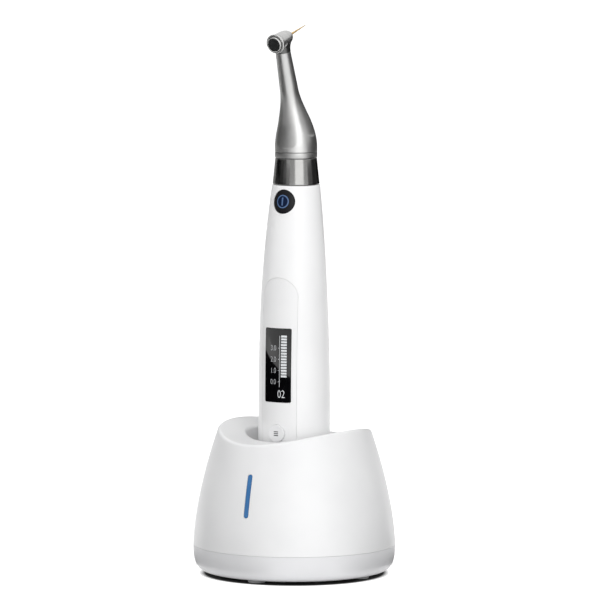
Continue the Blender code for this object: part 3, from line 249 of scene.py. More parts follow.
def boolean(piece, bm, operation="DIFFERENCE"):
    """Apply one Boolean with the cutter mesh and remove the cutter."""
    cutter = new_object("cutter", bm)
    step = piece.modifiers.new("cut", "BOOLEAN")
    step.operation = operation
    step.solver = "EXACT"
    step.object = cutter
    bpy.context.view_layer.update()
    cut = bpy.data.meshes.new_from_object(piece.evaluated_get(bpy.context.evaluated_depsgraph_get()))
    piece.modifiers.clear()
    old = piece.data
    piece.data = cut
    bpy.data.meshes.remove(old)
    bpy.data.objects.remove(cutter, do_unlink=True)


def settle(piece, finish, body, nodes=(), crease=CREASE):
    """Give a piece its finish, its smooth shading and the body it rides on."""
    piece.data.materials.clear()
    piece.data.materials.append(finish)
    piece.data.shade_smooth()
    piece.data.set_sharp_from_angle(angle=math.radians(crease))
    if nodes:
        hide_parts(*nodes)
    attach(piece, body)
    return piece


# Finishes

NOISE_MIDDLE = (0.3, 0.7)       # the part of a noise's range that uneven gloss follows
TINT_MIDDLE = (0.35, 0.65)      # and the part that tints follow
CLOUDS = 60.0                   # features per metre of the cloudiness and the uneven gloss of plastic
GLOSS_CLOUDS = 140.0
PEEL_DEPTH = 0.00004
TARNISH = 180.0                 # features per metre of the tint of metal
LINE_DEPTH = 0.00002


def finish(name, colour, roughness, metallic=0.0):
    made = bpy.data.materials.new(name)
    made.use_nodes = True
    shader = made.node_tree.nodes["Principled BSDF"]
    shader.inputs["Base Color"].default_value = (*colour, 1.0)
    shader.inputs["Roughness"].default_value = roughness
    shader.inputs["Metallic"].default_value = metallic
    return made


def texture(made, scale, detail=2.0, stretch=(1.0, 1.0, 1.0)):
    """A noise texture in the piece's own coordinates; scale is in features per metre."""
    nodes = made.node_tree.nodes
    links = made.node_tree.links
    place = nodes.new("ShaderNodeTexCoord")
    mapping = nodes.new("ShaderNodeMapping")
    mapping.inputs["Scale"].default_value = stretch
    noise = nodes.new("ShaderNodeTexNoise")
    noise.inputs["Scale"].default_value = scale
    noise.inputs["Detail"].default_value = detail
    links.new(place.outputs["Object"], mapping.inputs["Vector"])
    links.new(mapping.outputs["Vector"], noise.inputs["Vector"])
    return noise.outputs["Fac"]


def shader_of(made):
    return made.node_tree.nodes["Principled BSDF"]


def bumped(made, fac, strength, distance):
    bump = made.node_tree.nodes.new("ShaderNodeBump")
    bump.inputs["Strength"].default_value = strength
    bump.inputs["Distance"].default_value = distance
    made.node_tree.links.new(fac, bump.inputs["Height"])
    made.node_tree.links.new(bump.outputs["Normal"], shader_of(made).inputs["Normal"])


def ranged(made, fac, low, high):
    """Map the middle of a noise to a range of values."""
    step = made.node_tree.nodes.new("ShaderNodeMapRange")
    step.inputs["From Min"].default_value, step.inputs["From Max"].default_value = NOISE_MIDDLE
    step.inputs["To Min"].default_value = low
    step.inputs["To Max"].default_value = high
    made.node_tree.links.new(fac, step.inputs["Value"])
    return step.outputs["Result"]


def rough(made, fac, low, high):
    made.node_tree.links.new(ranged(made, fac, low, high), shader_of(made).inputs["Roughness"])


def tinted(made, fac, first, second):
    ramp = made.node_tree.nodes.new("ShaderNodeValToRGB")
    for element, position, colour in zip(ramp.color_ramp.elements, TINT_MIDDLE, (first, second)):
        element.position = position
        element.color = (*colour, 1.0)
    made.node_tree.links.new(fac, ramp.inputs["Fac"])
    made.node_tree.links.new(ramp.outputs["Color"], shader_of(made).inputs["Base Color"])


def plastic(name, colour, shade, low, high, grain=900.0, strength=0.06):
    """Moulded plastic: a faint cloudiness, uneven gloss and a fine orange peel."""
    made = finish(name, colour, low)
    tinted(made, texture(made, CLOUDS), shade, colour)
    rough(made, texture(made, GLOSS_CLOUDS, 4.0), low, high)
    bumped(made, texture(made, grain, 3.0), strength, PEEL_DEPTH)
    return made


def metal(name, colour, shade, low, high, lines, stretch, strength):
    """Machined metal: tool lines along one direction, with uneven gloss."""
    made = finish(name, colour, low, 1.0)
    tinted(made, texture(made, TARNISH, 3.0), shade, colour)
    rough(made, texture(made, lines, 5.0, stretch), low, high)
    bumped(made, texture(made, lines, 4.0, stretch), strength, LINE_DEPTH)
    return made


AROUND = (0.02, 0.02, 1.0)      # tool lines that run around a vertical axis
EVEN = (1.0, 1.0, 1.0)          # a blasted surface without lines

white = plastic("gloss_white_plastic", (0.86, 0.862, 0.866), (0.84, 0.842, 0.848), 0.31, 0.37)
grip_white = plastic("grip_white_plastic", (0.925, 0.926, 0.929), (0.91, 0.911, 0.915), 0.31, 0.37)
panel_white = plastic("panel_white_plastic", (0.88, 0.881, 0.884), (0.865, 0.866, 0.87), 0.32, 0.38)
# painted shade: the tray's white is darker than the base's, standing in for the shade on the side of the
# tray that curves under
tray_white = plastic("tray_white_plastic", (0.78, 0.782, 0.795), (0.76, 0.762, 0.775), 0.32, 0.40)
button_white = plastic("button_white_plastic", (0.83, 0.832, 0.838), (0.81, 0.812, 0.82), 0.32, 0.42)
black = plastic("black_plastic", (0.008, 0.008, 0.010), (0.006, 0.006, 0.008), 0.32, 0.42)
shader_of(black).inputs["Specular IOR Level"].default_value = 0.15     # a dull face
navy = plastic("navy_window", (0.003, 0.011, 0.040), (0.002, 0.008, 0.032), 0.32, 0.42)
shader_of(navy).inputs["Specular IOR Level"].default_value = 0.10
glass = plastic("black_glass", (0.0025, 0.0025, 0.003), (0.0015, 0.0015, 0.002), 0.02, 0.03, 300.0, 0.002)
# the feet are pale grey rubber; part of their lightness is painted light, so that they look lit in the
# shade under the base
rubber = plastic("grey_rubber", (0.62, 0.62, 0.63), (0.56, 0.56, 0.57), 0.65, 0.85, 2500.0, 0.4)
satin = metal("satin_steel", (0.45, 0.45, 0.445), (0.42, 0.42, 0.415), 0.32, 0.38, 9000.0, AROUND, 0.08)
blasted = metal("blasted_steel", (0.53, 0.53, 0.525), (0.51, 0.51, 0.505), 0.32, 0.38, 2500.0, EVEN, 0.04)
# painted shade: a darkened copy of the head's blasted steel, standing in for the shade under the head
painted_shade_stub_steel = metal("painted_shade_stub_steel", (0.12, 0.12, 0.119), (0.11, 0.11, 0.109), 0.32, 0.38, 2500.0, EVEN, 0.04)
ring_steel = metal("ring_steel", (0.38, 0.38, 0.375), (0.34, 0.34, 0.335), 0.34, 0.42, 9000.0, AROUND,
                   0.20)
chrome = metal("dark_chrome", (0.25, 0.25, 0.245), (0.23, 0.23, 0.225), 0.15, 0.20, 7000.0, AROUND, 0.04)
steel = metal("steel", (0.60, 0.60, 0.61), (0.54, 0.54, 0.56), 0.31, 0.40, 6000.0, AROUND, 0.12)
dark_steel = metal("dark_steel", (0.062, 0.066, 0.066), (0.05, 0.054, 0.054), 0.32, 0.42, 5000.0, AROUND,
                   0.10)
brass = metal("brass", (0.74, 0.58, 0.27), (0.66, 0.50, 0.22), 0.31, 0.40, 6000.0, AROUND, 0.10)
gold = metal("gold_titanium", (0.66, 0.45, 0.18), (0.58, 0.38, 0.14), 0.31, 0.40, 9000.0, AROUND, 0.08)
board = plastic("green_board", (0.03, 0.17, 0.07), (0.02, 0.11, 0.05), 0.35, 0.55, 1500.0, 0.15)
cell = plastic("cell_sleeve", (0.05, 0.19, 0.42), (0.04, 0.15, 0.34), 0.32, 0.42, 1200.0, 0.08)
blue_light = plastic("blue_light", (0.055, 0.195, 0.45), (0.045, 0.165, 0.39), 0.18, 0.26)
screen_ink = plastic("screen_ink", (0.80, 0.82, 0.84), (0.74, 0.76, 0.78), 0.32, 0.42)
symbol_blue = plastic("symbol_blue", (0.085, 0.16, 0.33), (0.07, 0.135, 0.28), 0.32, 0.42)
mark_dark = plastic("mark_dark", (0.045, 0.046, 0.05), (0.035, 0.036, 0.04), 0.40, 0.50)
mark_grey = plastic("mark_grey", (0.56, 0.57, 0.59), (0.50, 0.51, 0.53), 0.35, 0.45)

FINISHES = {
    "white_gloss": white, "panel_white": panel_white, "tray_white": tray_white,
    "button_white": button_white, "screen_black": glass, "black_plastic": black, "rubber_grey": rubber,
    "light_blue": blue_light, "satin_steel": satin, "dark_chrome": chrome, "steel": steel,
    "dark_steel": dark_steel, "brass": brass, "gold_titanium": gold, "circuit_board": board,
    "cell_sleeve": cell,
}


def dress_nodes():
    """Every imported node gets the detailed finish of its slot."""
    for subpart in frame["record"]["subparts"]:
        node = frame["nodes"][subpart["node"]]
        node.data.materials.clear()
        node.data.materials.append(FINISHES[subpart["material_slot"]])
        soften(node.data)


SAME_DIGITS = 7             # corners that agree to these decimals of a metre are one


def soften(mesh):
    """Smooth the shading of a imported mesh, whose triangles share no corners."""
    limit = math.cos(math.radians(CREASE))
    mesh.shade_smooth()
    places = [tuple(round(value, SAME_DIGITS) for value in vertex.co) for vertex in mesh.vertices]
    corners = {}
    for face in mesh.polygons:
        for index in face.vertices:
            corners.setdefault(places[index], []).append(face)
    normals = []
    for face in mesh.polygons:
        for index in face.vertices:
            total = Vector((0.0, 0.0, 0.0))
            for other in corners[places[index]]:
                if other.normal.dot(face.normal) > limit:
                    total += other.normal * other.area
            normals.append(total.normalized())
    mesh.normals_split_custom_set(normals)


# Charging base

RIM_PASSES = 12             # enough for the height of the rim to settle


def base_radius(z):
    share = (z - PARTING_Z) / (TAPER_TOP_Z - PARTING_Z)
    return BASE_RADIUS - BASE_TAPER * max(share, 0.0) ** TAPER_POWER


def valley_height(x, y):
    reach = BASE_RADIUS - BASE_TAPER
    across = x * math.cos(VALLEY_TURN) + y * math.sin(VALLEY_TURN)
    along = y * math.cos(VALLEY_TURN) - x * math.sin(VALLEY_TURN)
    bottom = VALLEY_Z - VALLEY_FALL * (along + reach) / (2 * reach)
    full = math.hypot(reach, VALLEY_ROUND) - VALLEY_ROUND
    share = (math.hypot(across, VALLEY_ROUND) - VALLEY_ROUND) / full
    return bottom + (VALLEY_TOP_Z - bottom) * share - VALLEY_LEAN * across / reach


def rim_height(way, inset=0.0):
    """Height at which the side of the base meets the valley in this direction."""
    z = VALLEY_Z
    for _ in range(RIM_PASSES):
        reach = base_radius(z) - inset
        z = valley_height(reach * way.x, reach * way.y) - inset
    return z


def well_radius(way, grown=0.0):
    return 1 / math.hypot(way.x / (WELL_HALF_WIDTH + grown), way.y / (WELL_HALF_DEPTH + grown))


TOP_SHARES = (0.15, 0.4, 0.65, 0.85)    # corners of the outline between the rim and the well's lip


def base_outline(way):
    """Outline of the top shell in this direction, from under the well's floor to the floor's top."""
    well = well_radius(way)
    well_back = well_radius(way, BASE_WALL)
    inner_z = rim_height(way, BASE_WALL)
    rim_z = rim_height(way)
    low_z = PARTING_Z + FINE_SEAM / 2

    def top(radius):
        return radius, valley_height(radius * way.x, radius * way.y)

    outline = [(well_back, WELL_FLOOR_Z - BASE_WALL), (well_back, top(well_back)[1] - BASE_WALL)]
    outline += [(base_radius(z) - BASE_WALL, z) for z in spread(inner_z, low_z, 6)]
    outline += [(base_radius(z), z) for z in spread(low_z, rim_z, 26)[:-3]]
    rim_index = len(outline)
    outline.append((base_radius(rim_z), rim_z))
    rim_radius = base_radius(rim_z) - RIM_ROUND
    for share in TOP_SHARES:
        outline.append(top(rim_radius + (well + WELL_LIP_ROUND - rim_radius) * share))
    lip_index = len(outline)
    outline.append(top(well))
    outline += [(well, WELL_FLOOR_Z), (well - BASE_WALL, WELL_FLOOR_Z)]
    return rounded(outline, {rim_index: RIM_ROUND, lip_index: WELL_LIP_ROUND})


def build_base():
    ways = directions(AROUND_BASE)
    outlines = [base_outline(way) for way in ways]
    rings = []
    for level in range(len(outlines[0])):
        rings.append([outline[level][0] * way + Vector((0.0, 0.0, outline[level][1]))
                      for way, outline in zip(ways, outlines)])
    shell = new_object("base_shell", skin(rings))

    low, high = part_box("light_bar")
    half = (high.x - low.x) / 2
    reach = (-BASE_RADIUS - BASE_WALL, -WELL_HALF_DEPTH - 2 * BASE_WALL)
    bar = new_object("light_strip", skin(rings))
    boolean(bar, prism_y(round_rectangle(half, low.z, high.z, half, 10), *reach), "INTERSECT")
    grown = half + SEAM
    boolean(shell, prism_y(round_rectangle(grown, low.z - SEAM, high.z + SEAM, grown, 10), *reach))
    low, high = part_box("dc_jack")
    window = round_rectangle(high.x + SEAM, low.z - SEAM, high.z + SEAM, SEAM)
    boolean(shell, prism_y(window, BASE_RADIUS - BASE_TAPER, BASE_RADIUS + BASE_WALL))
    for node in ("charge_pin_left", "charge_pin_right"):
        low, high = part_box(node)
        radius = (high.y - low.y) / 2 + PIN_CLEARANCE
        hole = turned([(radius, WELL_FLOOR_Z - 2 * BASE_WALL), (radius, WELL_FLOOR_Z + BASE_WALL)],
                      AROUND_HOLE)
        boolean(shell, moved(hole, Matrix.Translation(((low.x + high.x) / 2, 0.0, 0.0))))
    settle(shell, white, "base", ["base_top_shell"])
    settle(bar, blue_light, "base", ["light_bar"])

    inner = BASE_RADIUS - BASE_WALL
    top_z = PARTING_Z - FINE_SEAM / 2
    floor_z = TRAY_BOTTOM_Z + BASE_WALL
    edge = FINE_SEAM
    outline = [(inner - TRAY_ROUND, floor_z), (inner, floor_z), (inner, top_z), (BASE_RADIUS, top_z),
               (BASE_RADIUS, TRAY_BOTTOM_Z), (BASE_RADIUS - 2 * TRAY_ROUND, TRAY_BOTTOM_Z)]
    profile = rounded(outline, {1: TRAY_ROUND - BASE_WALL, 3: edge, 4: (TRAY_RISE, TRAY_ROUND)}, 10)
    tray = new_object("base_pan", turned(profile, AROUND_BASE))
    for node in ("foot_front", "foot_right", "foot_back", "foot_left"):
        low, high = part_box(node)
        radius = (high.x - low.x) / 2 + PIN_CLEARANCE
        recess = turned([(radius, low.z - BASE_WALL), (radius, high.z + SEAM)], AROUND_FOOT)
        place = Matrix.Translation(((low.x + high.x) / 2, (low.y + high.y) / 2, 0.0))
        boolean(tray, moved(recess, place))
    for number in range(1, 5):
        low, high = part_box(f"base_screw_{number}")
        radius = (high.x - low.x) / 2 + PIN_CLEARANCE
        bore = turned([(radius, TRAY_BOTTOM_Z - BASE_WALL), (radius, floor_z + BASE_WALL)], AROUND_HOLE)
        boolean(tray, moved(bore, Matrix.Translation(((low.x + high.x) / 2, (low.y + high.y) / 2, 0.0))))
    settle(tray, tray_white, "base", ["base_tray"])


# Handpiece

def grip_radius(z):
    share = (z - GRIP_STRAIGHT_Z) / (GRIP_TOP_Z - GRIP_STRAIGHT_Z)
    return GRIP_RADIUS - (GRIP_RADIUS - GRIP_TOP_RADIUS) * max(share, 0.0) ** GRIP_POWER


def grip_centre(z):
    share = (z - GRIP_LEAN_Z) / (GRIP_TOP_Z - GRIP_LEAN_Z)
    return AXIS_Y * max(share, 0.0) ** LEAN_POWER


def front_y(x, z, lift=0.0):
    """The front of the grip at this place, lifted off it a little."""
    return grip_centre(z) - math.sqrt((grip_radius(z) + lift) ** 2 - x ** 2)


def grip_mesh():
    """The whole grip as a tube that is open at both ends."""
    levels = spread(GRIP_LOW_Z, GRIP_STRAIGHT_Z, 8)[1:-1] + spread(GRIP_STRAIGHT_Z, GRIP_TOP_Z, 40)[:-1]
    outline = [(grip_radius(z) - GRIP_WALL, z) for z in spread(GRIP_TOP_Z, GRIP_LOW_Z, 12)]
    corner = len(outline)
    outline += [(GRIP_RADIUS, GRIP_LOW_Z)]
    outline += [(grip_radius(z), z) for z in levels]
    top = len(outline)
    outline += [(GRIP_TOP_RADIUS, GRIP_TOP_Z), (GRIP_TOP_RADIUS - GRIP_WALL / 2, GRIP_TOP_Z)]
    profile = rounded(outline, {corner: GRIP_BOTTOM_ROUND, top: GRIP_TOP_ROUND})
    rings = [circle(radius, z, AROUND_GRIP, (0.0, grip_centre(z))) for radius, z in profile]
    return skin(rings, looped=True)


def arch_outline(grown):
    half = PANEL_HALF_WIDTH + grown
    centre_z = PANEL_TOP_Z - PANEL_HALF_WIDTH
    points = [(-half, GRIP_LOW_Z - GRIP_WALL), (half, GRIP_LOW_Z - GRIP_WALL)]
    for angle in spread(0.0, math.pi, 49):
        points.append((half * math.cos(angle), centre_z + half * math.sin(angle)))
    return points


def power_frame():
    """Frame on the grip at the power button; its Z points out of the grip."""
    step = GRIP_WALL
    low = grip_centre(POWER_Z - step) - grip_radius(POWER_Z - step)
    high = grip_centre(POWER_Z + step) - grip_radius(POWER_Z + step)
    lean = math.atan2(high - low, 2 * step)
    place = Matrix.Translation((0.0, grip_centre(POWER_Z) - grip_radius(POWER_Z), POWER_Z))
    return place @ Matrix.Rotation(math.pi / 2 - lean, 4, "X")


def power_height(x, y):
    """Height of the power button's face in its own frame: a dome over the curve of the grip."""
    curve = grip_radius(POWER_Z)
    share = math.hypot(x, y) / POWER_RADIUS
    return POWER_PROUD * (1 - share ** 2) - curve + math.sqrt(curve ** 2 - x ** 2)


def build_grip():
    front = (-GRIP_RADIUS - GRIP_WALL, -GRIP_WALL)
    shell = new_object("grip_shell", grip_mesh())
    boolean(shell, prism_y(arch_outline(FINE_SEAM), *front))
    radius = POWER_RADIUS + SEAM
    hole = turned([(radius, -2 * GRIP_WALL), (radius, GRIP_WALL)], AROUND_SMALL)
    boolean(shell, moved(hole, power_frame()))
    low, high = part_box("lead_socket")
    half_height = (high.z - low.z) / 2
    slot = round_rectangle(high.x + SEAM, low.z - SEAM, high.z + SEAM, half_height, 10)
    boolean(shell, prism_y(slot, low.y, high.y + 2 * GRIP_WALL))
    settle(shell, grip_white, "handpiece", ["handpiece_shell"])

    panel = new_object("grip_panel", grip_mesh())
    boolean(panel, prism_y(arch_outline(0.0), *front), "INTERSECT")
    half = SCREEN_HIGH.x
    window = round_rectangle(half + SEAM, SCREEN_LOW.z - SEAM, SCREEN_HIGH.z + SEAM, SCREEN_CORNER + SEAM)
    boolean(panel, prism_y(window, *front))
    radius = PROGRAM_RADIUS + FINE_SEAM
    hole = turned([(radius, 0.0), (radius, 2 * GRIP_RADIUS)], AROUND_SMALL)
    out = Matrix.Translation((0.0, -GRIP_RADIUS / 2, PROGRAM_Z)) @ Matrix.Rotation(math.pi / 2, 4, "X")
    boolean(panel, moved(hole, out))
    settle(panel, panel_white, "handpiece", ["front_panel"])

    lens = new_object("screen_window", grip_mesh())
    outline = round_rectangle(half, SCREEN_LOW.z, SCREEN_HIGH.z, SCREEN_CORNER)
    boolean(lens, prism_y(outline, *front), "INTERSECT")
    settle(lens, glass, "handpiece", ["screen_lens"])


DOME_MIDDLE = 0.03          # share of the power button's radius at which its dome closes
FACE_RING = 0.6             # share of the program button's radius at which its flat face closes


def build_buttons():
    foot = -GRIP_WALL - SEAM
    edge = SEAM
    levels = [(POWER_RADIUS, edge), (POWER_RADIUS - edge / 3, edge / 3), (POWER_RADIUS - edge, 0.0)]
    levels += [(POWER_RADIUS * share, 0.0) for share in spread(0.9, 0.1, 9) + [DOME_MIDDLE]]
    rings = [circle(POWER_RADIUS, foot, AROUND_SMALL)]
    for radius, drop in levels:
        ring = circle(radius, 0.0, AROUND_SMALL)
        rings.append([Vector((p.x, p.y, power_height(p.x, p.y) - drop)) for p in ring])
    button = new_object("power_key", moved(skin(rings), power_frame()))
    settle(button, black, "power_button", ["power_button"])

    low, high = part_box("program_button")
    radius = PROGRAM_RADIUS
    flange = (high.x - low.x) / 2
    deep = high.y - low.y
    outline = [(flange, 0.0), (flange, GRIP_WALL / 2), (radius, GRIP_WALL / 2), (radius, deep),
               (radius * FACE_RING, deep)]
    profile = rounded(outline, {3: PROGRAM_PROUD / 2})
    out = Matrix.Translation((0.0, high.y, PROGRAM_Z)) @ Matrix.Rotation(math.pi / 2, 4, "X")
    key = new_object("program_key", moved(turned(profile, AROUND_SMALL), out))
    settle(key, button_white, "program_button", ["program_button"])


# Graphics: thin raised ink

INK = 0.00003       # thickness of printed or lit marks


def ribbon(pairs, place, closed=False):
    """A thin strip through pairs of flat points; place puts a flat point on its surface at a height."""
    rings = []
    for first, second in pairs:
        rings.append([place(*first, INK), place(*second, INK), place(*second, -INK), place(*first, -INK)])
    return skin(rings, looped=closed)


def on_screen(x, z, lift):
    return Vector((x, front_y(x, z, lift), z))


def on_power(x, y, lift):
    return power_frame() @ Vector((x, y, power_height(x, y) + lift))


def joined(name, meshes):
    """One object from several meshes."""
    whole = bmesh.new()
    for bm in meshes:
        part = bpy.data.meshes.new("part")
        bm.to_mesh(part)
        bm.free()
        whole.from_mesh(part)
        bpy.data.meshes.remove(part)
    return new_object(name, whole)


def screen_bar(left, right, low, high):
    return ribbon([((x, low), (x, high)) for x in spread(left, right, 6)], on_screen)


def screen_text(body, size, right, low):
    """Figures in the built-in font that end at this side, laid on the screen's curve."""
    curve = bpy.data.curves.new("figures", "FONT")
    curve.body = body
    curve.size = size
    curve.extrude = INK
    curve.align_x = "RIGHT"
    curve.offset = -FIGURE_THIN * size
    holder = bpy.data.objects.new("figures", curve)
    bpy.context.scene.collection.objects.link(holder)
    bpy.context.view_layer.update()
    flat = bpy.data.meshes.new_from_object(holder.evaluated_get(bpy.context.evaluated_depsgraph_get()))
    bpy.data.objects.remove(holder, do_unlink=True)
    bpy.data.curves.remove(curve)
    bm = bmesh.new()
    bm.from_mesh(flat)
    bpy.data.meshes.remove(flat)
    bmesh.ops.remove_doubles(bm, verts=bm.verts, dist=1e-6)
    for vert in bm.verts:
        vert.co = on_screen(right + FIGURE_SQUEEZE * vert.co.x, low + vert.co.y, vert.co.z)
    return bm


SCALE_TOP = 0.1091          # height of the scale's upper end on the screen
SCALE_BOTTOM = 0.0860
SCALE_X = 0.0014
SCALE_FIRST = 0.1036        # height of the first figure
SCALE_STEP = 0.00506
LINE = 0.00024              # width of the scale's lines
TICK = 3 * LINE
FIGURE_GAP = 7 * LINE       # from the scale to the end of its figures
BAR_COUNT = 15
BAR_PITCH = 0.00128
BAR_FILL = 0.68             # share of the pitch that is lit
BAR_TOP = 0.1093
BAR_LEFT = 0.0021
BAR_RIGHT = 0.0047
FIGURE_SIZE = 0.0034
FIGURE_DROP = 0.35 * FIGURE_SIZE    # from the middle of a figure to its foot
COUNTER_SIZE = 0.0050
COUNTER_Z = 0.0812
COUNTER_RIGHT = 0.0041
FIGURE_SQUEEZE = 0.74       # the figures are narrow
FIGURE_THIN = 0.014         # share of their size by which their strokes are drawn in


def build_screen_graphics():
    bars = []
    for k in range(BAR_COUNT):
        high = BAR_TOP - BAR_PITCH * k
        bars.append(screen_bar(BAR_LEFT, BAR_RIGHT, high - BAR_FILL * BAR_PITCH, high))
    settle(joined("screen_bars", bars), screen_ink, "handpiece")

    half = LINE / 2
    edges = [((SCALE_X - half, z), (SCALE_X + half, z)) for z in spread(SCALE_BOTTOM, SCALE_TOP, 30)]
    marks = [ribbon(edges, on_screen)]
    for k, words in enumerate(("3.0", "2.0", "1.0", "0.0")):
        z = SCALE_FIRST - SCALE_STEP * k
        marks.append(screen_bar(SCALE_X - TICK, SCALE_X, z - half, z + half))
        marks.append(screen_text(words, FIGURE_SIZE, SCALE_X - FIGURE_GAP, z - FIGURE_DROP))
    settle(joined("screen_scale", marks), mark_grey, "handpiece")
    counter = joined("screen_counter", [screen_text("02", COUNTER_SIZE, COUNTER_RIGHT, COUNTER_Z)])
    settle(counter, screen_ink, "handpiece")


SYMBOL_RADIUS = 0.0030
SYMBOL_STROKE = 0.00052
SYMBOL_BAR = (0.0007, 0.0036)
WINDOW_EDGE = 0.97          # shares of the symbol's inner radius at which its window starts and closes
WINDOW_MIDDLE = 0.03
PROGRAM_BAR = (0.0022, 0.00042)     # each of the three bars on the program button


def build_button_marks():
    inner = SYMBOL_RADIUS - SYMBOL_STROKE
    pairs = []
    for way in directions(AROUND_SYMBOL):
        pairs.append(((way.x * SYMBOL_RADIUS, way.y * SYMBOL_RADIUS), (way.x * inner, way.y * inner)))
    ring = ribbon(pairs, on_power, closed=True)
    half, length = SYMBOL_BAR[0] / 2, SYMBOL_BAR[1]
    bar = ribbon([((-half, y), (half, y)) for y in spread(-length / 2, length / 2, 9)], on_power)
    settle(joined("power_symbol", [ring, bar]), symbol_blue, "power_button")

    levels = [(WINDOW_EDGE, -INK)] + [(share, INK / 3) for share in spread(WINDOW_EDGE, WINDOW_MIDDLE, 8)]
    window = []
    for share, lift in levels:
        ring = circle(inner * share, 0.0, AROUND_SYMBOL)
        window.append([on_power(p.x, p.y, lift) for p in ring])
    settle(new_object("power_window", skin(window)), navy, "power_button")

    face_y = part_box("program_button")[0].y

    def on_program(x, z, lift):
        return Vector((x, face_y - lift, PROGRAM_Z + z))

    half, thick = PROGRAM_BAR[0] / 2, PROGRAM_BAR[1]
    bars = []
    for middle in (-2 * thick, 0.0, 2 * thick):
        ends = [((x, middle - thick / 2), (x, middle + thick / 2)) for x in (-half, half)]
        bars.append(ribbon(ends, on_program))
    settle(joined("program_symbol", bars), mark_dark, "program_button")


# Contra-angle

COLLAR_EDGE = 0.0004
COLLAR_TOP_RADIUS = 0.00935
COLLAR_BORE = 0.0073
RING_WALL = 0.0017


def build_collar():
    low_radius = (COLLAR_HIGH.x - COLLAR_LOW.x) / 2
    place = Matrix.Translation((0.0, AXIS_Y, 0.0))
    collar_low = GRIP_TOP_Z + SEAM
    seat_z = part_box("coupling_nose")[0].z
    outline = [(COLLAR_BORE, seat_z), (low_radius - GRIP_WALL, collar_low), (low_radius, collar_low),
               (COLLAR_TOP_RADIUS, COLLAR_HIGH.z), (COLLAR_BORE, COLLAR_HIGH.z)]
    profile = rounded(outline, {2: COLLAR_EDGE, 3: COLLAR_EDGE})
    collar = new_object("collar_skin", moved(turned(profile, AROUND_GRIP, looped=True), place))
    settle(collar, chrome, "handpiece", ["collar_ring"])

    inner = SLEEVE_RADIUS - RING_WALL
    outline = [(inner, RING_LOW.z), (SLEEVE_RADIUS, RING_LOW.z), (SLEEVE_RADIUS, RING_HIGH.z),
               (inner, RING_HIGH.z)]
    profile = rounded(outline, {1: FINE_SEAM, 2: FINE_SEAM}, 3)
    ring = new_object("swivel_band", moved(turned(profile, AROUND_GRIP, looped=True), place))
    settle(ring, ring_steel, "swivel", ["swivel_ring"])


def neck_point(z):
    """Middle of the sleeve or neck at this height, and the lean of its axis there."""
    bend_end_z = BEND_START_Z + BEND_RADIUS * math.sin(NECK_TILT)
    if z <= BEND_START_Z:
        return Vector((0.0, 0.0, z)), 0.0
    if z <= bend_end_z:
        lean = math.asin((z - BEND_START_Z) / BEND_RADIUS)
        return Vector((0.0, -BEND_RADIUS * (1 - math.cos(lean)), z)), lean
    return Vector((0.0, -(z - BEND_Z) * math.tan(NECK_TILT), z)), NECK_TILT


def neck_radius(z):
    if z <= FLARE_HIGH_Z:
        share = min(max((z - FLARE_LOW_Z) / (FLARE_HIGH_Z - FLARE_LOW_Z), 0.0), 1.0)
        return SLEEVE_RADIUS - (SLEEVE_RADIUS - NECK_RADIUS) * share * share * (3 - 2 * share)
    share = (z - FLARE_HIGH_Z) / (HEAD_Z - FLARE_HIGH_Z)
    return NECK_RADIUS - (NECK_RADIUS - NECK_END_RADIUS) * share


SCOOPS = (                      # the hollows for the fingers: middle, lower and upper end, depth
    (0.0, 0.1926, 0.2142, 0.0004),
    (math.pi / 2, 0.1980, 0.2200, 0.00035),
    (-math.pi / 2, 0.1980, 0.2200, 0.00035),
)
SCOOP_HALF = math.radians(42.0)     # half of the angle that a hollow takes up
SCOOP_BOW = 0.0050                  # how much higher a hollow's lower end is at its sides
SCOOP_LIP = 0.45                    # below one, the lower end is steeper than the upper


def scoop_depth(way, z):
    """How far the hollows press the sleeve in, in this direction and at this height."""
    angle = math.atan2(way.x, -way.y)
    for middle, low, high, depth in SCOOPS:
        off = (angle - middle) / SCOOP_HALF
        start = low + SCOOP_BOW * off ** 2
        if abs(off) < 1 and start < z < high:
            share = (z - start) / (high - start)
            return depth * (1 - off ** 2) ** 2 * math.sin(math.pi * share ** SCOOP_LIP)
    return 0.0


def head_place():
    """Frame at the middle of the head; Z runs along the file, towards its tip."""
    forward = NECK_LENGTH * math.sin(NECK_TILT)
    place = Matrix.Translation((0.0, AXIS_Y - forward, HEAD_Z))
    return place @ Matrix.Rotation(HEAD_TILT - math.pi / 2, 4, "X")


def head_radius(z):
    share = (z + HEAD_BACK) / (SHOULDER + HEAD_BACK)
    return HEAD_RADIUS - (HEAD_RADIUS - HEAD_SHOULDER_RADIUS) * share


NOSE_START = 0.0005         # the head begins to close towards the file here, measured from its middle
NOSE_END_RADIUS = 0.0020
NOSE_ROUND = 0.66           # lower is blunter


def head_outline():
    """The outside of the head in front of the push cap, up to the end of its nose."""
    outline = [(head_radius(z), z) for z in spread(CAP_RING_HIGH + SEAM, NOSE_START, 6)[:-1]]
    start_radius = head_radius(NOSE_START)
    for angle in spread(0.0, math.pi / 2, 22):
        share = math.cos(angle) ** (2 * NOSE_ROUND)
        radius = NOSE_END_RADIUS + (start_radius - NOSE_END_RADIUS) * share
        outline.append((radius, NOSE_START + (HEAD_FRONT - NOSE_START) * math.sin(angle)))
    return outline


STUB_LENGTH = 0.0051        # the head's own short neck, which the long neck is pressed into
STUB_PROUD = 0.00012
STUB_FLARE = 0.0007         # how much wider the stub is all round at the head
STUB_REACH = 0.0022         # how much further it reaches towards the nose
STUB_LOW_Z = HEAD_Z - STUB_LENGTH


def neck_ring(z, radii):
    """A ring across the leaning neck, with one radius for each direction."""
    middle, lean = neck_point(z)
    turn = Matrix.Translation(middle) @ Matrix.Rotation(lean, 4, "X")
    return [turn @ (radius * way) for radius, way in zip(radii, directions(AROUND_GRIP))]


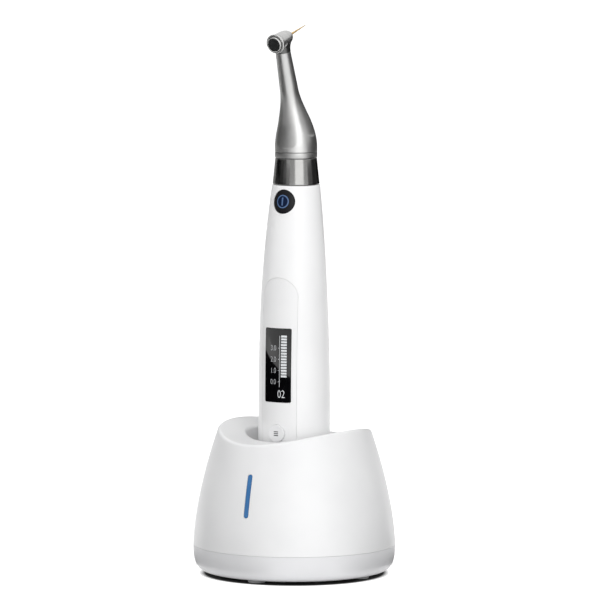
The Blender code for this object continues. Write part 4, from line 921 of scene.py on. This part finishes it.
def build_sleeve():
    rings = []
    for radius, z in ((SLEEVE_BORE, SLEEVE_LOW_Z + SLEEVE_BORE_DEPTH), (SLEEVE_BORE, SLEEVE_LOW_Z)):
        rings.append(circle(radius, z, AROUND_GRIP))
    edge = FINE_SEAM
    rings.append(circle(SLEEVE_RADIUS - edge, SLEEVE_LOW_Z, AROUND_GRIP))
    rings.append(circle(SLEEVE_RADIUS, SLEEVE_LOW_Z + edge, AROUND_GRIP))
    levels = spread(SLEEVE_LOW_Z + 2 * edge, FLARE_HIGH_Z, 90)
    levels += spread(FLARE_HIGH_Z, STUB_LOW_Z + SEAM, 20)[1:]
    for z in levels:
        radii = [neck_radius(z) - scoop_depth(way, z) for way in directions(AROUND_GRIP)]
        rings.append(neck_ring(z, radii))
    sleeve = new_object("contra_skin", moved(skin(rings), Matrix.Translation((0.0, AXIS_Y, 0.0))))
    settle(sleeve, satin, "contra_angle", ["contra_sleeve"], crease=FINE_CREASE)


def build_stub():
    rings = []
    for z in spread(STUB_LOW_Z, HEAD_Z, 24):
        share = (z - STUB_LOW_Z) / STUB_LENGTH
        side_reach = neck_radius(z) + STUB_PROUD + STUB_FLARE * share ** 2
        nose_reach = STUB_REACH * share * share * (3 - 2 * share)
        ways = directions(AROUND_GRIP)
        rings.append(neck_ring(z, [side_reach + nose_reach * max(way.y, 0.0) ** 2 for way in ways]))
    stub = new_object("neck_stub", moved(skin(rings), Matrix.Translation((0.0, AXIS_Y, 0.0))))
    bite = SEAM / 2
    outline = [(HEAD_RADIUS, -HEAD_BACK)] + head_outline()
    trim = turned([(radius - bite, z) for radius, z in outline], AROUND_GRIP)
    boolean(stub, moved(trim, head_place()))
    # the stub's dark steel is painted shade
    settle(stub, painted_shade_stub_steel, "contra_angle", crease=FINE_CREASE)


def build_head():
    place = head_place()
    back = CAP_RING_HIGH + SEAM / 2
    outline = [(NOSE_BORE, SHOULDER), (HEAD_BORE, back), (head_radius(back), back)]
    outline += head_outline() + [(NOSE_BORE, HEAD_FRONT)]
    head = new_object("head_skin", moved(turned(outline, AROUND_GRIP, looped=True), place))
    settle(head, blasted, "contra_angle", ["head_housing"])

    inner = HEAD_RADIUS - CAP_RING_WALL
    outer = HEAD_RADIUS + BEZEL_BEAD
    edge = (outer - inner) / 2
    outline = [(inner, CAP_RING_HIGH), (inner, CAP_RING_LOW), (outer, CAP_RING_LOW),
               (head_radius(CAP_RING_HIGH), CAP_RING_HIGH)]
    profile = rounded(outline, {1: edge, 2: edge})
    ring = new_object("cap_bezel", moved(turned(profile, AROUND_GRIP, looped=True), place))
    settle(ring, blasted, "contra_angle", ["cap_ring"])

    radius = inner - FINE_SEAM
    face = -HEAD_BACK
    low = face + CAP_HEIGHT
    disc = radius - CAP_EDGE
    outline = [(disc, low), (disc, face), (radius, face), (radius, low)]
    profile = rounded(outline, {2: CAP_EDGE})
    rim = new_object("cap_rim", moved(turned(profile, AROUND_SMALL, looped=True), place))
    settle(rim, blasted, "push_cap")
    disc -= FINE_SEAM / 2
    profile = [(disc, low), (disc, face), (disc / 2, face), (disc / 30, face)]
    cap = new_object("cap_key", moved(turned(profile, AROUND_SMALL), place))
    settle(cap, dark_steel, "push_cap", ["push_cap"])


SHANK_GAP = 0.0025          # from the push cap to the end of the file's shank
FILE_CREASE = 50
FLUTES = 3
SMOOTH_PART = 6             # the flutes start after this part of the file's length, a sixth
FLUTE_TURN = 0.0040         # length of one turn of the file's flutes
FLUTE_DEPTH = 0.22          # share of the radius that a flute cuts away


def build_file():
    low = -HEAD_BACK + CAP_HEIGHT + SHANK_GAP
    shank_end = HEAD_FRONT + SHANK_PROUD
    edge = SHANK_RADIUS / 2
    outline = [(SHANK_RADIUS, low), (SHANK_RADIUS, shank_end), (FILE_ROOT_RADIUS, shank_end)]
    rings = [circle(radius, z, AROUND_FILE) for radius, z in rounded(outline, {1: edge}, 5)]
    smooth_length = FILE_LENGTH / SMOOTH_PART
    for z in spread(shank_end, shank_end + FILE_LENGTH, 90)[1:]:
        share = (z - shank_end) / FILE_LENGTH
        radius = FILE_ROOT_RADIUS + (FILE_TIP_RADIUS - FILE_ROOT_RADIUS) * share
        turn = 2 * math.pi * (z - shank_end) / FLUTE_TURN
        cut = FLUTE_DEPTH * min(max((z - shank_end - smooth_length) / smooth_length, 0.0), 1.0)
        ring = []
        for way in directions(AROUND_FILE):
            wave = 0.5 + 0.5 * math.cos(FLUTES * math.atan2(way.y, way.x) + turn)
            ring.append(way * radius * (1 - cut * wave) + Vector((0.0, 0.0, z)))
        rings.append(ring)
    rings.append(circle(FILE_TIP_RADIUS / 4, shank_end + FILE_LENGTH, AROUND_FILE))
    blade = new_object("file_blade", moved(skin(rings), head_place()))
    settle(blade, gold, "file", ["root_canal_file"], crease=FILE_CREASE)


# Stage

CAMERA_TURN = math.radians(29.5)        # the camera stands to the right of the screen
CAMERA_RISE = math.radians(5.87)
CAMERA_DISTANCE = 2.9
TARGET_Z = 0.1238
TARGET_RIGHT = 0.0026
PIXEL = 0.00045                         # metres per pixel at the object
IMAGE_SIDE = 600
SENSOR = 36.0


def around(turn, distance, z):
    """Place at this angle from the camera's direction, to the right, seen from the object."""
    angle = CAMERA_TURN + turn
    return Vector((math.sin(angle) * distance, -math.cos(angle) * distance, z))


def build_camera():
    right = Vector((math.cos(CAMERA_TURN), math.sin(CAMERA_TURN), 0.0))
    target = Vector((0.0, 0.0, TARGET_Z)) + right * TARGET_RIGHT
    offset = around(0.0, CAMERA_DISTANCE * math.cos(CAMERA_RISE), CAMERA_DISTANCE * math.sin(CAMERA_RISE))
    data = bpy.data.cameras.new("camera")
    data.sensor_width = SENSOR
    data.lens = SENSOR * CAMERA_DISTANCE / (PIXEL * IMAGE_SIDE)
    camera = bpy.data.objects.new("camera", data)
    bpy.context.scene.collection.objects.link(camera)
    camera.location = target + offset
    camera.rotation_euler = offset.to_track_quat("Z", "Y").to_euler()
    bpy.context.scene.camera = camera


def softbox(name, place, aim, side, watts):
    """A square lamp at this place that faces another."""
    data = bpy.data.lights.new(name, "AREA")
    data.shape = "RECTANGLE"
    data.size = side
    data.size_y = side
    data.energy = watts
    lamp = bpy.data.objects.new(name, data)
    bpy.context.scene.collection.objects.link(lamp)
    lamp.location = place
    lamp.rotation_euler = (place - aim).to_track_quat("Z", "Y").to_euler()
    return lamp


def seen_directly(tree):
    """One where a ray comes from the camera, a reflection or a clear piece, and zero for other light."""
    path = tree.nodes.new("ShaderNodeLightPath")
    total = path.outputs["Is Camera Ray"]
    for name in ("Is Glossy Ray", "Is Transmission Ray"):
        step = tree.nodes.new("ShaderNodeMath")
        step.operation = "MAXIMUM"
        tree.links.new(total, step.inputs[0])
        tree.links.new(path.outputs[name], step.inputs[1])
        total = step.outputs[0]
    return total


WORLD_LIGHT = 0.43


def build_world():
    world = bpy.data.worlds.new("studio")
    bpy.context.scene.world = world
    world.use_nodes = True
    tree = world.node_tree
    tree.nodes.clear()
    out = tree.nodes.new("ShaderNodeOutputWorld")
    mix = tree.nodes.new("ShaderNodeMixShader")
    light = tree.nodes.new("ShaderNodeBackground")
    light.inputs["Color"].default_value = (1.0, 1.0, 1.0, 1.0)
    light.inputs["Strength"].default_value = WORLD_LIGHT
    backdrop = tree.nodes.new("ShaderNodeBackground")
    backdrop.inputs["Color"].default_value = (1.0, 1.0, 1.0, 1.0)
    backdrop.inputs["Strength"].default_value = 1.0
    tree.links.new(seen_directly(tree), mix.inputs["Fac"])
    tree.links.new(light.outputs[0], mix.inputs[1])
    tree.links.new(backdrop.outputs[0], mix.inputs[2])
    tree.links.new(mix.outputs[0], out.inputs["Surface"])


MATT = 0.9                  # roughness of the floor and the cards
FLOOR_REACH = 14.0
FLOOR_SIDES = 64
FLOOR_GLOW = 0.75           # lifts the lit floor to white
GLOW_START = 0.0402         # the glow and the fade out of the painted shadow begin at the edge of the base, so that its shadow stays dark
GLOW_FULL = 0.0432
FLOOR_WHITE = 0.92
PAINTED_SHADOW_GREY = 0.10           # painted shadow: the floor's own grey under the base, darker than its white


def build_floor():
    made = finish("pale_floor", (FLOOR_WHITE, FLOOR_WHITE, FLOOR_WHITE), MATT)
    tree = made.node_tree
    shader = shader_of(made)
    shader.inputs["Specular IOR Level"].default_value = 0.0
    shader.inputs["Emission Color"].default_value = (FLOOR_GLOW, FLOOR_GLOW, FLOOR_GLOW, 1.0)
    place = tree.nodes.new("ShaderNodeTexCoord")
    distance = tree.nodes.new("ShaderNodeVectorMath")
    distance.operation = "LENGTH"
    share = tree.nodes.new("ShaderNodeMapRange")
    share.inputs["From Min"].default_value = GLOW_START
    share.inputs["From Max"].default_value = GLOW_FULL
    lift = tree.nodes.new("ShaderNodeMath")
    lift.operation = "MULTIPLY"
    tree.links.new(place.outputs["Object"], distance.inputs[0])
    tree.links.new(distance.outputs["Value"], share.inputs["Value"])
    tree.links.new(share.outputs["Result"], lift.inputs[0])
    tree.links.new(seen_directly(tree), lift.inputs[1])
    tree.links.new(lift.outputs[0], shader.inputs["Emission Strength"])
    # painted shadow: the floor's colour goes from dark grey under the base to white outside it
    shade = tree.nodes.new("ShaderNodeValToRGB")
    shade.color_ramp.elements[0].color = (PAINTED_SHADOW_GREY, PAINTED_SHADOW_GREY, PAINTED_SHADOW_GREY, 1.0)
    shade.color_ramp.elements[1].color = (FLOOR_WHITE, FLOOR_WHITE, FLOOR_WHITE, 1.0)
    tree.links.new(share.outputs["Result"], shade.inputs["Fac"])
    tree.links.new(shade.outputs["Color"], shader.inputs["Base Color"])
    bm = bmesh.new()
    bmesh.ops.create_circle(bm, cap_ends=True, segments=FLOOR_SIDES, radius=FLOOR_REACH)
    floor = new_object("floor", bm)
    floor.data.materials.append(made)


FLAG_DISTANCE = 0.50
FLAG_STEPS = 12             # corners along a card's edge
FLAG_HEIGHT = 0.36
FLAG_LOW = 0.26             # cards of this height leave the contra-angle bright
FLAG_SPLIT = 0.185          # below this, the left cards are darker for the waist of the sleeve
FLAG_TOP = 0.46
BAND_HIGH = 0.108           # under the left cards, an open band gives the screen its glare
GLARE_LEFT = 0.0670         # the slanted lower edge of that band, at its two ends
GLARE_RIGHT = 0.0487
GLARE_TURNS = (-128.0, -14.0)
GLARE_GREY = 0.01

# Each card: two angles from the camera's direction, its lower and upper end, its grey
FLAGS = (
    (-180.0, -127.0, BAND_HIGH, FLAG_HEIGHT, 0.50),
    (-127.0, -89.0, BAND_HIGH, FLAG_SPLIT, 0.10),
    (-89.0, -50.0, BAND_HIGH, FLAG_SPLIT, 0.02),
    (-50.0, -32.0, BAND_HIGH, FLAG_SPLIT, 0.60),
    (-127.0, -89.0, FLAG_SPLIT, FLAG_LOW, 0.005),
    (-89.0, -68.0, FLAG_SPLIT, FLAG_LOW, 0.14),
    (-68.0, -50.0, FLAG_SPLIT, FLAG_LOW, 0.40),
    (-50.0, -32.0, FLAG_SPLIT, FLAG_LOW, 0.90),
    (-127.0, -54.0, FLAG_LOW, FLAG_TOP, 0.25),
    (62.0, 90.0, BAND_HIGH, FLAG_LOW, 0.32),
    (90.0, 130.0, BAND_HIGH, FLAG_HEIGHT, 0.08),
    (130.0, 180.0, BAND_HIGH, FLAG_HEIGHT, 0.02),
    (60.0, 130.0, 0.0, BAND_HIGH, 0.10),
)

# Each dark card on the floor: two angles, its inner and outer reach, its grey
FLOOR_FLAGS = (
    (-125.0, -18.0, 0.05, 0.10, 0.30),
    (-118.0, -36.0, 0.14, 0.49, 0.01),
    (36.0, 130.0, 0.05, 0.09, 0.12),
    (65.0, 130.0, 0.12, 0.49, 0.02),
)


def build_flags():
    """Grey and black cards around the object, which only reflections and soft light see."""
    for number, (first, last, low_z, high_z, grey) in enumerate(FLAGS, 1):
        add_flag(f"flag_{number}", first, last, (FLAG_DISTANCE, low_z), (FLAG_DISTANCE, high_z), grey)
    add_flag("glare_flag", *GLARE_TURNS, (FLAG_DISTANCE, 0.0), (FLAG_DISTANCE, GLARE_LEFT), GLARE_GREY,
             GLARE_LEFT - GLARE_RIGHT)
    for number, (first, last, inner, outer, grey) in enumerate(FLOOR_FLAGS, 1):
        add_flag(f"floor_flag_{number}", first, last, (inner, SEAM), (outer, SEAM), grey)


def add_flag(name, first, last, start, end, grey, slant=0.0):
    """A card between two angles that runs from one distance and height to another.

    slant is how much lower its upper edge is at the last angle.
    """
    made = finish(f"{name}_card", (grey, grey, grey), MATT)
    shader_of(made).inputs["Specular IOR Level"].default_value = 0.0
    bm = bmesh.new()
    rows = []
    for (distance, z), drop in ((start, 0.0), (end, slant)):
        row = []
        for turn, height in zip(spread(first, last, FLAG_STEPS), spread(z, z - drop, FLAG_STEPS)):
            row.append(bm.verts.new(around(math.radians(turn), distance, height)))
        rows.append(row)
    for i in range(FLAG_STEPS - 1):
        bm.faces.new((rows[0][i], rows[0][i + 1], rows[1][i + 1], rows[1][i]))
    flag = new_object(name, bm)
    flag.data.materials.append(made)
    flag.visible_camera = False
    flag.visible_shadow = False
    flag.visible_diffuse = start[1] < BAND_HIGH


LAMP_AIM = Vector((0.0, 0.0, 0.11))

# Each lamp: its name, its angle from the camera's direction, its distance, height, side and watts
LAMPS = (
    ("key", 17.0, 1.7, 0.75, 1.5, 14.2),
    ("fill_left", -75.0, 1.5, 0.45, 1.0, 5.4),
    ("fill_right", 62.0, 1.5, 0.45, 1.0, 2.2),
)
TOP_HEIGHT = 1.4
TOP_SIDE = 1.4
TOP_WATTS = 7.0


def build_lights():
    for name, turn, distance, z, side, watts in LAMPS:
        lamp = softbox(name, around(math.radians(turn), distance, z), LAMP_AIM, side, watts)
        lamp.visible_glossy = name == "key"
    softbox("top", Vector((0.0, 0.0, TOP_HEIGHT)), Vector((0.0, 0.0, 0.0)), TOP_SIDE, TOP_WATTS)


dress_nodes()
build_base()
build_grip()
build_buttons()
build_screen_graphics()
build_button_marks()
build_collar()
build_sleeve()
build_stub()
build_head()
build_file()
build_camera()
build_world()
build_floor()
build_flags()
build_lights()
bpy.context.scene.view_settings.view_transform = "Standard"
